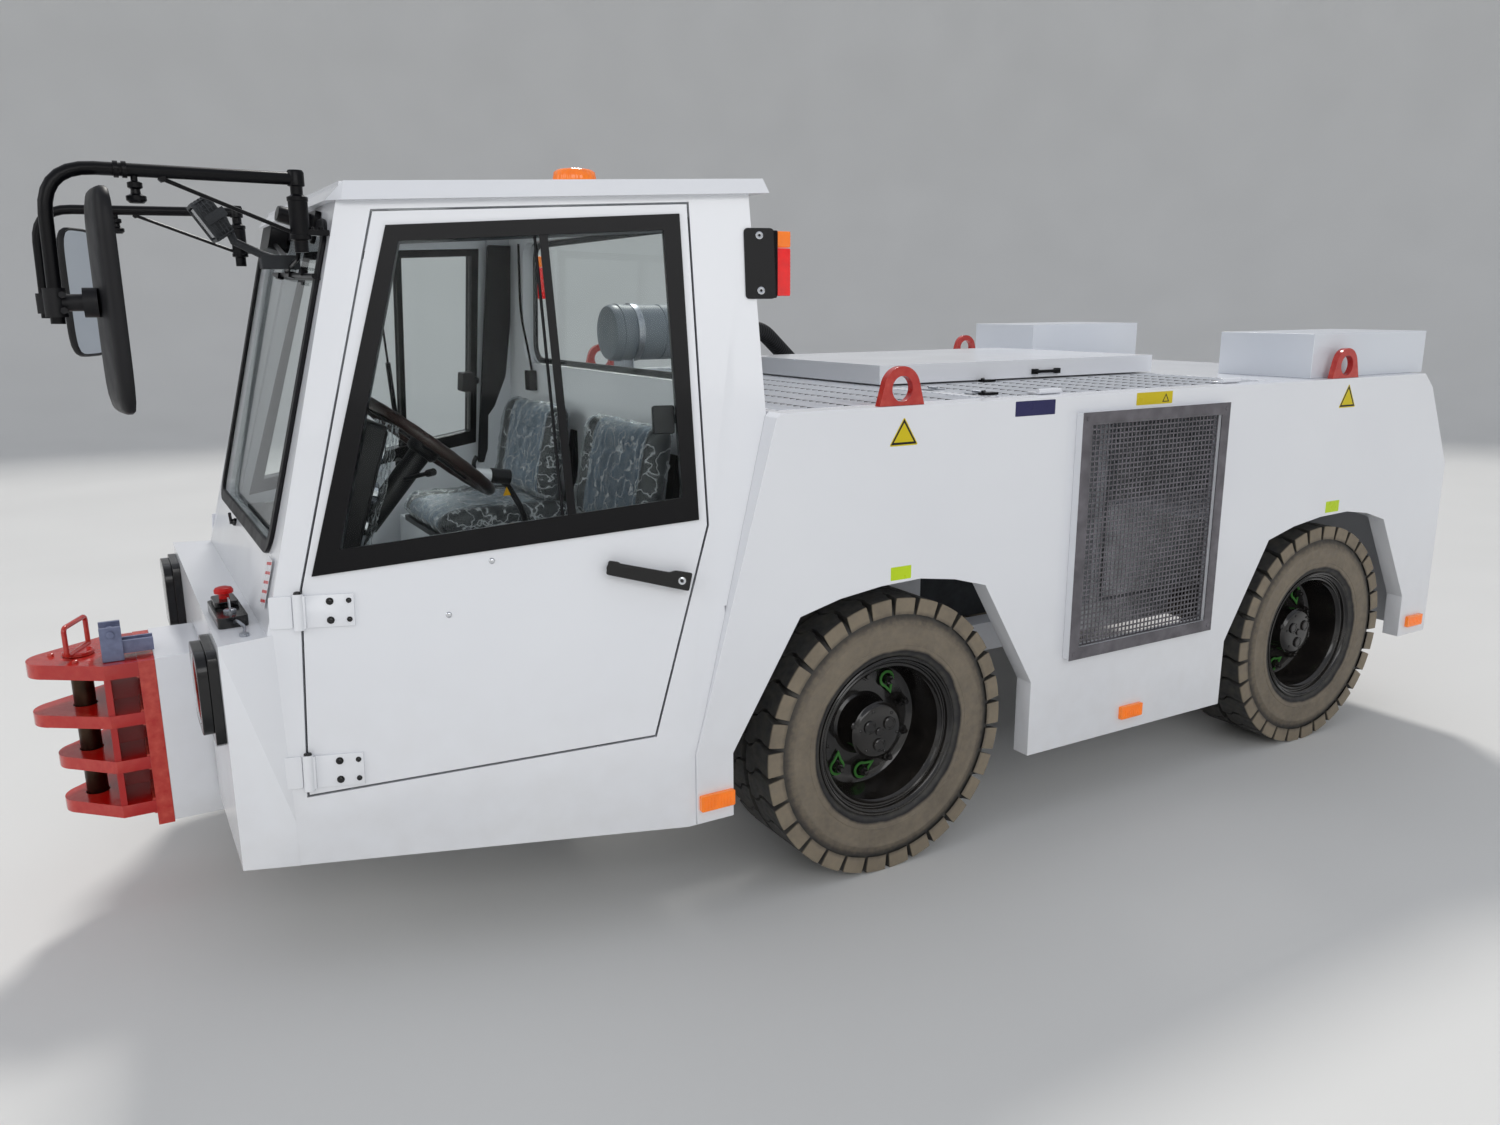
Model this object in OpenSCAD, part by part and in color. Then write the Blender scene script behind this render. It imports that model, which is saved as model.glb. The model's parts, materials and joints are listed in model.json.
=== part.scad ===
// Four-wheel airport baggage tug with a forward half-width cab, a low load deck
// and a multi-level tow jaw at each end. Millimetres, +X forward, +Y left, +Z up.
// Driving dimensions are counted from the middle of the front axle on the ground;
// in_row() then moves the whole vehicle so that X = 0 is the middle of its length.

/* [Overall] */
// Width over the two side panels
body_w = 1810; // [1500:10:2100]
// Height of the deck's edge above the ground
deck_z = 1214; // [1000:2:1400]
// Distance between the two axles
wheel_base = 1744; // [1500:2:2200]

/* [Wheels and tyres] */
// Height of the axle, which is the distance to the flat top of a tread block
axle_z = 366.6; // [340:0.1:400]
// Width of the tyre
tyre_w = 240; // [200:2:280]
// Distance from the centreline to the middle of a wheel
track_half = 748; // [680:1:800]
// Tread blocks round one side of a tyre
tread_n = 30; // [20:1:40]
// Radius of the rim's flange
rim_r = 213; // [190:1:230]
// Distance from the centreline to the kingpin
king_y = 570; // [540:1:600]

/* [Side panels] */
// Thickness of the body's sheet steel
sheet = 6; // [3:0.5:10]
// Depth of the folded edge behind each side panel
fold = 55; // [30:1:80]
// Lower edge between the wheels
skirt_z = 235; // [180:1:300]
// Width of a grille frame
grille_w = 584; // [400:2:700]
// Height of a grille frame
grille_h = 674; // [400:2:800]
// Square holes across a grille
grille_nx = 9; // [5:1:30]
// Square holes up a grille
grille_nz = 12; // [5:1:43]

/* [Cab] */
// Forward taper of the cab's sides, millimetres per millimetre of length
side_taper = 0.346; // [0.2:0.001:0.45]
// Inward lean of the cab's sides, millimetres per millimetre of height
side_lean = 0.165; // [0:0.001:0.3]
// Front face of the nose, from the front axle
nose_x = 1503; // [1400:1:1600]
// Half width of the nose
nose_y = 596; // [500:1:700]
// Height of the ledge above the nose
ledge_z = 780; // [700:1:900]
// Thickness of the cab's walls
cab_wall = 34; // [25:1:60]
// Thickness of a door
door_t = 28; // [20:1:40]
// Gap round a door
door_gap = 5; // [4:0.5:10]

/* [Tow jaws] */
// Front end of the white beam
beam_x = 1606; // [1550:1:1700]
// Half width of the beam and of the jaw's back plate
beam_y = 143; // [100:1:200]
// Reach of the two upper plates in front of the back plate's front face
jaw_long = 226; // [150:1:300]
// Reach of the two lower plates
jaw_short = 188; // [120:1:260]
// Radius of the drop pin
pin_r = 24; // [15:0.5:35]

/* [Hidden] */
jaw_back = 35;
jaw_tip = 62;
tip_front = beam_x + jaw_back + jaw_long;
tail_x = -2343;
tip_rear = tail_x - 30 - jaw_back - jaw_long;
row_x = -(tip_front + tip_rear)/2;
half_w = body_w/2;

// which sub-part to build; "all" builds the whole vehicle

white = [0.93, 0.93, 0.94];
black = [0.06, 0.06, 0.07];
red = [0.72, 0.08, 0.06];
grey = [0.28, 0.28, 0.29];
steel = [0.36, 0.33, 0.30];
rubber = [0.09, 0.09, 0.09];
amber = [0.95, 0.5, 0.05];
glass = [0.75, 0.85, 0.85, 0.35];

// Placing helpers
module in_row() translate([row_x, 0, 0]) children();
module left_right() { children(); mirror([0, 1, 0]) children(); }
// a side outline drawn as (x, z), standing from y0 to y0 + h
module upright(y0, h) translate([0, y0 + h, 0]) rotate([90, 0, 0]) linear_extrude(h) children();
// a box between two corners
module span(a, b) translate(a) cube(b - a);
// the convex solid round a list of points, with each point's twin on the other side
module solid(p) hull() polyhedron(concat(p, [for (q = p) [q[0], -q[1], q[2]]]),
                                  [[for (i = [0 : 2*len(p) - 1]) i]]);
// a straight round bar between two points
module bar(a, b, r) let (d = b - a, l = norm(d))
  translate(a) rotate([0, acos(d[2]/l), atan2(d[1], d[0])]) cylinder(h = l, r = r, $fn = 24);

// The plane of the cab's left side, through the rear end of the sill's crease
plane_p = [576, half_w, 458];
function side_y(x, z) = half_w - side_taper*(x - plane_p[0]) - side_lean*(z - plane_p[2]);
along = [1, -side_taper, 0]/norm([1, -side_taper, 0]);
outward = [side_taper, 1, side_lean]/norm([side_taper, 1, side_lean]);
upward = cross(along, outward);
function uv(p) = let (d = [p[0], side_y(p[0], p[1]), p[1]] - plane_p) [d*along, d*upward];
function uvs(list) = [for (p = list) uv(p)];
// local x along the side, local y up it and local z into the cab
module on_side() multmatrix([[along[0], upward[0], -outward[0], plane_p[0]],
                             [along[1], upward[1], -outward[1], plane_p[1]],
                             [along[2], upward[2], -outward[2], plane_p[2]], [0, 0, 0, 1]]) children();

// Outlines as (x, z) points
door_pts = [[1363, 441], [663, 511], [512, 970], [494, 1662], [1116, 1640], [1330, 872]];
sash_pts = [[1309, 898], [528, 982], [511, 1641], [1094, 1612]];
pane_pts = [[1250, 951], [559, 1032], [547, 1606], [1073, 1580]];
arch_f = [[484, 200], [484, 443], [302, 740], [190, 768], [70, 783], [-50, 787], [-160, 771],
          [-263, 742], [-442, 446], [-442, 200]];
arch_r = [[-1238, 200], [-1240, 437], [-1410, 733], [-1530, 764], [-1660, 781], [-1800, 785], [-1910, 769],
          [-2011, 738], [-2182, 448], [-2184, 200]];
panel_pts = [[579, 288], [579, 458], [367, 1205], [355, deck_z], [-2150, deck_z], [-2201, 1168],
             [-2339, 902], [tail_x, 304], [-2000, 304], [-2000, skirt_z], [0, skirt_z], [0, 288]];

// Underframe: each rail is arched over the rear axle. Posts, cross members and beam are bolted
// to the rails with a joint of this width between them.
bolt_gap = 0.2;
rail_z = [345, 440];
rail_pts = [[-2330, rail_z[0]], [-1880, rail_z[0]], [-1850, 430], [-1640, 430], [-1610, rail_z[0]],
            [1400, rail_z[0]], [1400, rail_z[1]], [-1580, rail_z[1]], [-1600, 540], [-1890, 540],
            [-1910, rail_z[1]], [-2330, rail_z[1]]];
module chassis() color(white) in_row() {
  left_right() {
    upright(300, 80) polygon(rail_pts);
    for (x = [-2135, -1270]) span([x, 335, rail_z[1] + bolt_gap], [x + 50, 380, deck_z - 70]);
  }
  for (x = [-2330, -1200, -520, 520, 1340]) span([x, bolt_gap - 300, rail_z[0]], [x + 60, 300 - bolt_gap, rail_z[1]]);
  // hollow white beam that carries the front jaw
  difference() {
    span([1400 + bolt_gap, -beam_y, 240], [beam_x, beam_y, 650]);
    span([1412, -beam_y + 12, 252], [beam_x - 12, beam_y - 12, 638]);
  }
  span([tail_x - 30, -beam_y, 240], [tail_x, beam_y, 650]);
}

module engine_block() color(grey) in_row() span([-1190, -290, rail_z[1]], [-470, 290, 1120]);

// Axles
module front_axle() color(black) in_row() translate([0, 0, axle_z]) {
  span([-45, -441, -98], [45, 441, -40]);
  for (y = [-1, 1]) span([-60, y*340 - 30, -40], [60, y*340 + 30, rail_z[0] - axle_z]);
  left_right() {
    span([-45, 440, -110], [45, 480, 110]);
    for (z = [-110, 90]) difference() {
      hull() {
        span([-45, 480, z], [45, 500, z + 20]);
        translate([0, king_y, z]) cylinder(h = 20, r = 36, $fn = 40);
      }
      translate([0, king_y, z - 1]) cylinder(h = 22, r = 20.05, $fn = 40);
    }
  }
}

module rear_axle() color(black) in_row() translate([-wheel_base, 0, axle_z]) {
  rotate([90, 0, 0]) cylinder(h = 1280, r = 60, center = true, $fn = 40);
  sphere(r = 150, $fn = 32);
  left_right() {
    rotate([-90, 0, 0]) translate([0, 0, 620]) cylinder(h = 47, r = 108, $fn = 48);
    rotate([-90, 0, 0]) translate([0, 0, 660]) cylinder(h = 96, r = 30, $fn = 40);
    span([-50, 310, 40], [50, 370, 430 - axle_z]);
  }
}

module knuckle() {
  translate([0, king_y, 0]) {
    cylinder(h = 220, r = 20, center = true, $fn = 40);
    cylinder(h = 168, r = 38, center = true, $fn = 40);
    rotate([-90, 0, 0]) cylinder(h = 90, r = 50, $fn = 40);
    span([-165, -26, -42], [-20, 8, -22]);
  }
  rotate([-90, 0, 0]) {
    translate([0, 0, 645]) cylinder(h = 22, r = 108, $fn = 48);
    translate([0, 0, 660]) cylinder(h = 96, r = 30, $fn = 40);
  }
}
module knuckle_left() color(black) in_row() translate([0, 0, axle_z]) knuckle();
module knuckle_right() color(black) in_row() translate([0, 0, axle_z]) mirror([0, 1, 0]) knuckle();

// One wheel: local z is the axle, positive towards the outside
module rim() difference() {
  union() {
    rotate_extrude($fn = 72) polygon([[rim_r, -116], [rim_r, -107], [184, -94], [184, 84], [rim_r, 100],
      [rim_r, 112], [202, 112], [178, 92], [174, 40], [168, 0], [150, -14], [120, -14], [120, -26],
      [146, -26], [164, -38], [172, -70], [176, -100], [200, -116]]);
    translate([0, 0, -66]) cylinder(h = 50, r = 128, $fn = 64);
    translate([0, 0, -20]) cylinder(h = 78, r = 74, $fn = 64);
    translate([0, 0, 58]) cylinder(h = 10, r1 = 74, r2 = 66, $fn = 64);
    for (k = [0 : 2]) rotate([0, 0, 120*k + 30]) translate([36, 0, 60]) cylinder(h = 14, r = 17, $fn = 32);
    for (k = [0 : 9]) rotate([0, 0, 36*k]) translate([134, 0, -20]) cylinder(h = 26, r = 13, $fn = 6);
  }
  translate([0, 0, -67]) cylinder(h = 82, r = 30.05, $fn = 40);
}

module tyre() {
  h = tyre_w/2;
  rotate_extrude($fn = 60) polygon([[184.5, -94], [213.5, -106], [240, -h], [318, -h + 2], [340, -h + 8],
    [349, -h + 22], [349, h - 22], [340, h - 8], [318, h - 2], [240, h], [213.5, 106 - 7], [184.5, 84]]);
  // two rows of slanted blocks, half a pitch apart
  for (k = [0 : tread_n - 1]) for (s = [1, -1])
    rotate([0, 0, 360*(k + (s > 0 ? 0 : 0.5))/tread_n]) translate([0, -axle_z, 0]) rotate([-90, 0, 0])
      linear_extrude(34) scale([1, -s]) polygon([[-20, 6], [6, 6], [26, 40], [27, h - 3], [-27, h - 3], [-27, 40]]);
}

module place_wheel(x, side) in_row() translate([x, side*track_half, axle_z])
  rotate([-90, 0, 0]) mirror([0, 0, side > 0 ? 0 : 1]) children();

module wheel_fl() color(black) place_wheel(0, 1) rim();
module tyre_fl() color(rubber) place_wheel(0, 1) tyre();
module wheel_fr() color(black) place_wheel(0, -1) rim();
module tyre_fr() color(rubber) place_wheel(0, -1) tyre();
module wheel_rl() color(black) place_wheel(-wheel_base, 1) rim();
module tyre_rl() color(rubber) place_wheel(-wheel_base, 1) tyre();
module wheel_rr() color(black) place_wheel(-wheel_base, -1) rim();
module tyre_rr() color(rubber) place_wheel(-wheel_base, -1) tyre();

// Side panels with folded edges and the four wheel wells
module panel_outline() difference() {
  polygon(panel_pts);
  polygon(arch_f);
  polygon(arch_r);
}

module side_panels() color(white) in_row() left_right() {
  difference() {
    upright(half_w - fold, fold) panel_outline();
    upright(half_w - fold - 1, fold + 1 - sheet) offset(delta = -sheet) panel_outline();
    // opening behind the grille
    span([-1108, half_w - 20, 530], [-578, half_w + 1, 1136]);
  }
  // wells: top plate and inner wall
  for (w = [[-442, 361, 796], [-2184, -1238, 794]]) {
    span([w[0], 425, w[2]], [w[1], half_w - fold, w[2] + 5]);
    span([w[0], 420, 470], [w[1], 425, w[2] + 5]);
  }
}

module rear_panel() color(white) in_row() upright(-half_w + fold, body_w - 2*fold) difference() {
  polygon([[tail_x, 304], [-2339, 902], [-2201, 1168], [-2150, deck_z], [-2142, deck_z], [-2142, 1207],
           [-2195, 1160], [-2333, 899], [-2337, 304]]);
}

// grille: a proud frame round a plate of square holes
module grilles() color(grey) in_row() left_right() {
  x0 = -1135; z0 = 496; rim = 34;
  upright(half_w, 30) difference() {
    translate([x0, z0]) square([grille_w, grille_h]);
    translate([x0 + rim, z0 + rim]) square([grille_w - 2*rim, grille_h - 2*rim]);
  }
  px = (grille_w - 2*rim)/grille_nx;
  pz = (grille_h - 2*rim)/grille_nz;
  upright(half_w + 12, 4) difference() {
    translate([x0 + rim, z0 + rim]) square([grille_w - 2*rim, grille_h - 2*rim]);
    for (i = [0 : grille_nx - 1]) for (j = [0 : grille_nz - 1])
      translate([x0 + rim + (i + 0.5)*px, z0 + rim + (j + 0.5)*pz]) square([px*0.72, pz*0.72], center = true);
  }
}

// Deck
grid_f = [-300, 330, -838, 838];
lid_y = [405, 836];
lid_x = [-1415, -335];
ribs = half_w - fold;
// hinges of the lid and of the cover
hinge_at = [-1240, -510];
hinge_r = 7.5;

module deck_frame() color(white) in_row() {
  translate([0, 0, deck_z - 28]) linear_extrude(28) difference() {
    translate([-1440, -ribs]) square([1796, 2*ribs]);
    translate([grid_f[0] - 2, -840]) square([632, 1680]);
    for (s = [1, -1]) scale([1, s]) translate([lid_x[0] - 5, lid_y[0] - 5]) square([1090, 441]);
    translate([-1415, -350]) square([1080, 700]);
  }
  span([-2141, -ribs, deck_z - 6], [-1440, ribs, deck_z]);
  // tubes below the deck, which carry the gratings
  left_right() {
    span([-2140, 330, deck_z - 70], [350, 420, deck_z - 30]);
    span([-2140, ribs - 36, deck_z - 70], [350, ribs, deck_z - 30]);
    span([-2140, 385, deck_z - 30], [-1440, 400, deck_z - 6]);
  }
  for (x = [-2140, -1440, -345, 300]) span([x, -ribs, deck_z - 70], [x + 50, ribs, deck_z - 30]);
}

// a grating of flat bars over a rectangle (nx by ny openings)
module grating(x0, x1, y0, y1, nx, ny) translate([0, 0, deck_z - 25]) linear_extrude(25) difference() {
  translate([x0, y0]) square([x1 - x0, y1 - y0]);
  px = (x1 - x0 - 6)/nx;
  py = (y1 - y0 - 6)/ny;
  for (i = [0 : nx - 1]) for (j = [0 : ny - 1])
    translate([x0 + 6 + i*px, y0 + 6 + j*py]) square([px - 6, py - 6]);
}

module deck_grating() color(white) in_row() {
  grating(grid_f[0], grid_f[1] - 2, grid_f[2], grid_f[3], 4, 24);
  grating(lid_x[0], lid_x[1], -lid_y[1], -lid_y[0], 6, 7);
}

// a hinge barrel along X with its leaf, which reaches back to the side given
module barrel(x, y, z, side) translate([x, y, z]) {
  rotate([0, 90, 0]) cylinder(h = 80, r = hinge_r, center = true, $fn = 28);
  scale([1, side, 1]) span([-40, -44, -3], [40, -3, 2]);
}

module grating_lid() color(white) in_row() {
  grating(lid_x[0], lid_x[1], lid_y[0], lid_y[1], 6, 7);
  for (x = hinge_at) barrel(x, lid_y[1] + 8, deck_z + 8, 1);
  for (x = hinge_at) span([x - 40, lid_y[1] - 36, deck_z - 1], [x + 40, lid_y[1] - 6, deck_z + 8]);
}

cover_x = [-1445, -305];
module engine_cover() color(white) in_row() {
  difference() {
    span([cover_x[0], -380, deck_z + 5], [cover_x[1], 380, deck_z + 60]);
    span([cover_x[0] + 4, -376, deck_z + 4], [cover_x[1] - 4, 376, deck_z + 56]);
  }
  for (x = hinge_at) barrel(x, -388.5, deck_z + 13, -1);
}

// x, x, y, y and height of each box on the rear deck
boxes = [[-2214, -1608, 519, 854, 136], [-2205, -1610, -690, -352, 146]];
module deck_boxes() color(white) in_row() for (b = boxes) difference() {
  span([b[0], b[2], deck_z], [b[1], b[3], deck_z + b[4]]);
  span([b[0] + 4, b[2] + 4, deck_z + 4], [b[1] - 4, b[3] - 4, deck_z + b[4] - 4]);
}

// lifting eyes stand behind the side panels, over the axles
eye_x = [15, -1722];
module lifting_eyes() color(red) in_row() left_right() for (x = eye_x) translate([x, ribs + 48, deck_z + 39])
  rotate([90, 0, 0]) difference() {
    union() {
      difference() {
        cylinder(h = 20, r = 53, $fn = 48);
        span([-60, -60, -1], [60, -38.9, 21]);
      }
      linear_extrude(20) polygon([[-66, -39], [66, -39], [50.5, 16], [-50.5, 16]]);
    }
    translate([0, 0, -1]) cylinder(h = 22, r = 30, $fn = 48);
  }

// air cleaner on the right of the deck, with its corrugated hose
module air_intake() color(rubber) in_row() {
  translate([-240, -430, 1358]) rotate([0, 90, 0]) {
    cylinder(h = 430, r = 90, $fn = 56);
    for (z = [70, 330]) translate([0, 0, z]) cylinder(h = 24, r = 94, $fn = 56);
  }
  for (x = [-170, 110]) span([x, -470, deck_z], [x + 40, -390, 1290]);
  // outlet cuff and the hose that runs down to the deck
  translate([-298, -430, 1358]) rotate([0, 90, 0]) cylinder(h = 68, r = 42, $fn = 40);
  difference() {
    bar([-285, -430, 1358], [-700, -645, 1192], 31);
    span([-820, -780, deck_z - 80], [-520, -480, deck_z + 0.2]);
  }
}

// Tow jaws
module jaw() {
  span([0, -beam_y, 235], [jaw_back, beam_y, 646]);
  // lower face, thickness and reach of each plate
  for (p = [[610, 35, jaw_long], [492, 30, jaw_long], [380, 30, jaw_short], [268, 30, jaw_short]])
    translate([0, 0, p[0]]) linear_extrude(p[1]) difference() {
      union() {
        polygon(concat(jaw_side(p[2], 1), jaw_side(p[2], -1)));
        translate([jaw_back + p[2] - jaw_tip, 0]) circle(r = jaw_tip, $fn = 48);
      }
      translate([jaw_back + 118, 0]) circle(r = pin_r + 2, $fn = 40);
    }
  span([jaw_back + 59, -beam_y + 9, 270], [jaw_back + 73, beam_y - 9, 628]);
  span([jaw_back - 1, -8, 270], [jaw_back + 60, 8, 628]);
}

// one side of a jaw plate: straight along the beam, then in to a point just inside the round tip
function jaw_side(reach, side) =
  let (corner = [jaw_back + 70, beam_y - 3],
       away = corner - [jaw_back + reach - jaw_tip, 0],
       turn = atan2(away[1], away[0]) - acos(jaw_tip/norm(away)),
       touch = [jaw_back + reach - jaw_tip, 0] + 0.99*jaw_tip*[cos(turn), sin(turn)],
       run = [[jaw_back - 1, corner[1]], corner, touch])
  side > 0 ? run : [for (i = [2 : -1 : 0]) [run[i][0], -run[i][1]]];

// drop pin with a collar and a square loop to lift it by
loop_w = 124;
loop_h = 83;
rod = 12;
module drop_pin() translate([jaw_back + 118, 0, 0]) {
  translate([0, 0, 258]) cylinder(h = 392, r = pin_r, $fn = 40);
  translate([0, 0, 646]) cylinder(h = 9, r = 34, $fn = 40);
  translate([-0.5, -5.5, 650]) rotate([90, 0, 67]) linear_extrude(rod, center = true) difference() {
    translate([-loop_w/2, -3]) square([loop_w, loop_h]);
    translate([-loop_w/2 + rod, 9]) square([loop_w - 2*rod, loop_h - 2*rod]);
  }
}

// catch beside the pin, with its lever lying back over the beam
module catch() {
  span([58, 40, 645.5], [107, 115, 728]);
  span([-6, 46, 652], [60, 96, 688]);
}

module at_jaws() in_row() {
  translate([beam_x, 0, 0]) children();
  translate([tail_x - 30, 0, 0]) rotate([0, 0, 180]) children();
}
module tow_jaws() color(red) at_jaws() jaw();
module tow_pins() color(steel) at_jaws() {
  drop_pin();
  catch();
}

// Cab
roof_f = 1700;
roof_r = 1717;
function top_z(x) = roof_r + (roof_f - roof_r)*(x - 340)/(1170 - 340);

// outline points of the cab's closed outside: the side plane, the sill and the raked windscreen
screen_b = [1406, ledge_z];
screen_t = [1172, 1700];
module cab_outer() {
  z1 = 1709;
  intersection() {
    solid([[1400, side_y(1400, 387) - 1, 285], [576, half_w - 1, 285], [369, half_w + 70, 285],
           [1400, side_y(1400, 387), 387], plane_p, [369, side_y(369, 458), 458],
           [screen_b[0], side_y(screen_b[0], screen_b[1]), screen_b[1]], [1400, side_y(1400, 700), 700],
           [screen_t[0], side_y(screen_t[0], screen_t[1]), screen_t[1]],
           [1169, side_y(1169, 1692), 1692], [362, side_y(362, z1), z1]]);
    span([300, -half_w + 7, 200], [1600, half_w - 7, 1800]);
  }
  solid([[nose_x, nose_y, 285], [nose_x, nose_y, ledge_z], [1395, side_y(1395, 387), 285],
         [1395, side_y(1395, 387), 387], [1395, side_y(1395, ledge_z), ledge_z]]);
}

// windscreen plane, local x to the left, local y up the screen and local z forward
screen_a = atan2(screen_b[0] - screen_t[0], screen_t[1] - screen_b[1]);
module on_screen() translate([screen_b[0], 0, screen_b[1]]) rotate([0, -screen_a, 0])
  rotate([90, 0, 90]) children();
module screen_outline(d) offset(r = 50 + d, $fn = 24) offset(delta = -50)
  polygon([[-446, 160], [446, 160], [462, 862], [-462, 862]]);
module back_outline(d) offset(r = 60 + d, $fn = 24) offset(delta = -60)
  polygon([[-640, 1262], [640, 1262], [600, 1640], [-600, 1640]]);

// half width of the cabin behind the doors, inside the folded edges of the side panels
inner_y = half_w - fold - 30;
module cab_shell() color(white) in_row() difference() {
  union() {
    difference() {
      cab_outer();
      // cabin, from the floor to under the roof
      solid([[1292, side_y(1292, 450) - cab_wall - 6, 450], [500, inner_y, 450],
             [500, inner_y, 700], [400, inner_y, 800],
             [1362, side_y(1362, ledge_z) - cab_wall - 4, ledge_z], [1292, side_y(1292, 460) - cab_wall - 6, 460],
             [1136, side_y(1136, 1695) - cab_wall - 4, 1695], [400, side_y(400, 1720) - cab_wall - 4, 1720],
             [1136, side_y(1136, 1695) - cab_wall - 4, 1800], [400, side_y(400, 1720) - cab_wall - 4, 1800],
             [400, inner_y, 900]]);
      // the nose is open towards the ground round the beam
      span([1372, -500, 200], [nose_x - 6, 500, ledge_z - 40]);
      span([1490, -beam_y - 6, 200], [1510, beam_y + 6, 656]);
      // wheel wells under the seats
      span([300, -920, 200], [490, 920, 789]);
      span([480, -450, 200], [1380, 450, 440]);
    }
    // seat box over the front wheel wells
    span([395, -760, 780], [840, 760, 790]);
    span([491, -690, 440], [840, 690, 785]);
  }
  for (m = [0, 1]) mirror([0, m, 0]) on_side() translate([0, 0, -30]) linear_extrude(135)
    offset(delta = door_gap) polygon(uvs(door_pts));
  on_screen() translate([0, 0, -80]) linear_extrude(140) screen_outline(0);
  translate([300, 0, 0]) rotate([90, 0, 90]) linear_extrude(160) back_outline(0);
  // room for the folded edges of the side panels
  left_right() upright(half_w - fold - 0.5, fold) offset(delta = 0.5) polygon(panel_pts);
}

module roof() color(white) in_row() difference() {
  hull() {
    solid([[330, side_y(330, 1690) + 26, 1686], [1176, side_y(1176, 1665) + 26, 1661],
           [1202, side_y(1176, 1665) - 10, 1661]]);
    solid([[336, side_y(330, 1717) + 12, top_z(336)], [1166, side_y(1166, 1700) + 12, top_z(1166)]]);
  }
  cab_outer();
  // the roof is hollow between its skin and the cabin
  solid([[400, side_y(400, 1700) - 38, 1600], [1136, side_y(1136, 1680) - 38, 1600],
         [400, side_y(400, 1700) - 38, 1706], [1136, side_y(1136, 1680) - 38, 1692]]);
}

module cab_glass() color(glass) in_row() {
  on_screen() translate([0, 0, -18]) linear_extrude(6) screen_outline(-0.3);
  translate([372, 0, 0]) rotate([90, 0, 90]) linear_extrude(6) back_outline(-0.3);
}

module window_seals() color(rubber) in_row() {
  on_screen() translate([0, 0, 0.2]) linear_extrude(9) difference() {
    screen_outline(14);
    screen_outline(-16);
  }
  translate([352, 0, 0]) rotate([90, 0, 90]) linear_extrude(9) difference() {
    back_outline(14);
    back_outline(-16);
  }
}

module dashboard() color(black) in_row() {
  span([1180, -500, 800], [1300, 500, 900]);
  span([1200, -60, 460], [1280, 60, 800]);
  translate([1190, 350, 895]) rotate([0, -20, 0]) span([0, -130, 0], [70, 130, 190]);
  bar([1240, 350, 840], [1020, 350, 1098], 24);
}

module steering_wheel() color(black) in_row() translate([995, 350, 1128]) rotate([0, -40, 0]) {
  rotate_extrude($fn = 56) translate([178, 0]) circle(r = 13, $fn = 20);
  translate([0, 0, -28]) cylinder(h = 34, r = 38, $fn = 32);
  for (a = [90, 210, 330]) rotate([0, 0, a]) span([30, -14, -10], [172, 14, 0]);
}

module seats() color([0.13, 0.15, 0.2]) in_row() for (y = [350, -330]) translate([0, y, 0]) {
  span([440, -225, 790], [860, 225, 890]);
  translate([520, 0, 880]) rotate([0, -12, 0]) span([-45, -225, 0], [50, 225, 285]);
}

// Lamps, mirrors and wiper
module lamps() color(black) in_row() {
  left_right() translate([nose_x, 470, 655]) {
    span([0, -100, -104], [26, 100, 104]);
    translate([26, 0, 10]) rotate([0, 90, 0]) cylinder(h = 18, r1 = 92, r2 = 84, $fn = 48);
  }
  translate([1395, 235, 1628]) rotate([0, 28, 0]) span([-14, -62, -38], [14, 62, 38]);
  bar([1300, 235, 1560], [1388, 235, 1620], 10);
  span([1222, 215, 1530], [1302, 255, 1575]);
}

// x of the pivot post, x of the drop tube
module mirror_arms() color(black) in_row() for (m = [[1255, 1700, 1], [1255, 1736, -1]]) {
  scale([1, m[2], 1]) {
    translate([m[0], 490, 1556]) cylinder(h = 162, r = 14, $fn = 28);
    translate([m[0], 490, 1585]) cylinder(h = 80, r = 20, $fn = 28);
    span([m[0] - 54.8, 475, 1590], [m[0], 505, 1602]);
    bar([m[0], 490, 1700], [m[1] - 60, 548, 1697], 12);
    bar([m[1] - 62, 548, 1699], [m[1], 556, 1640], 12);
    bar([m[1], 556, 1648], [m[1], 556, 1430], 12);
    bar([m[0], 490, 1590], [m[0] + 245, 524, 1690], 4);
  }
}

module mirrors() color(black) in_row() for (m = [[1700, 1], [1736, -1]]) scale([1, m[1], 1]) {
  bar([m[0] - 12.1, 556, 1458], [m[0] - 75, 556, 1458], 16);
  translate([m[0] - 92, 556, 1458]) rotate([0, 90, 0]) hull() {
    for (x = [-120, 120]) translate([x, 0, 0]) cylinder(h = 22, r = 86, $fn = 40);
  }
}

module wiper() color(black) in_row() on_screen() {
  translate([-60, 846, 10]) span([-70, -30, 0], [70, 30, 40]);
  translate([0, 870, 26]) rotate([0, 0, -60]) span([-8, -520, 0], [8, 0, 8]);
  translate([0, 870, 26]) rotate([0, 0, -60]) span([-6, -700, -12], [6, -200, 0]);
}

module tail_lamps() color(red) in_row() left_right() {
  // bracket bent round the cab's rear corner, with the lamp on its tab
  on_side() translate([0, 0, -5.2]) linear_extrude(5)
    polygon(uvs([[318, 1459], [384, 1459], [384, 1613], [318, 1613]]));
  translate([318, 0, 0]) rotate([90, 0, 90]) linear_extrude(4)
    polygon([[740, 1459], [830, 1459], [805, 1613], [740, 1613]]);
  span([262, 742, 1464], [319, 802, 1610]);
}

module amber_lamps() color(amber) in_row() {
  translate([455, 0, top_z(455) + 0.1]) rotate([0, atan((roof_r - roof_f)/830), 0]) {
    cylinder(h = 40, r = 68, $fn = 48);
    translate([0, 0, 40]) cylinder(h = 54, r1 = 64, r2 = 54, $fn = 48);
  }
  left_right() for (m = [[530, 339], [-838, 292], [-2262, 353]])
    span([m[0] - 45, half_w, m[1] - 20], [m[0] + 45, half_w + 12, m[1] + 20]);
}

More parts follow.
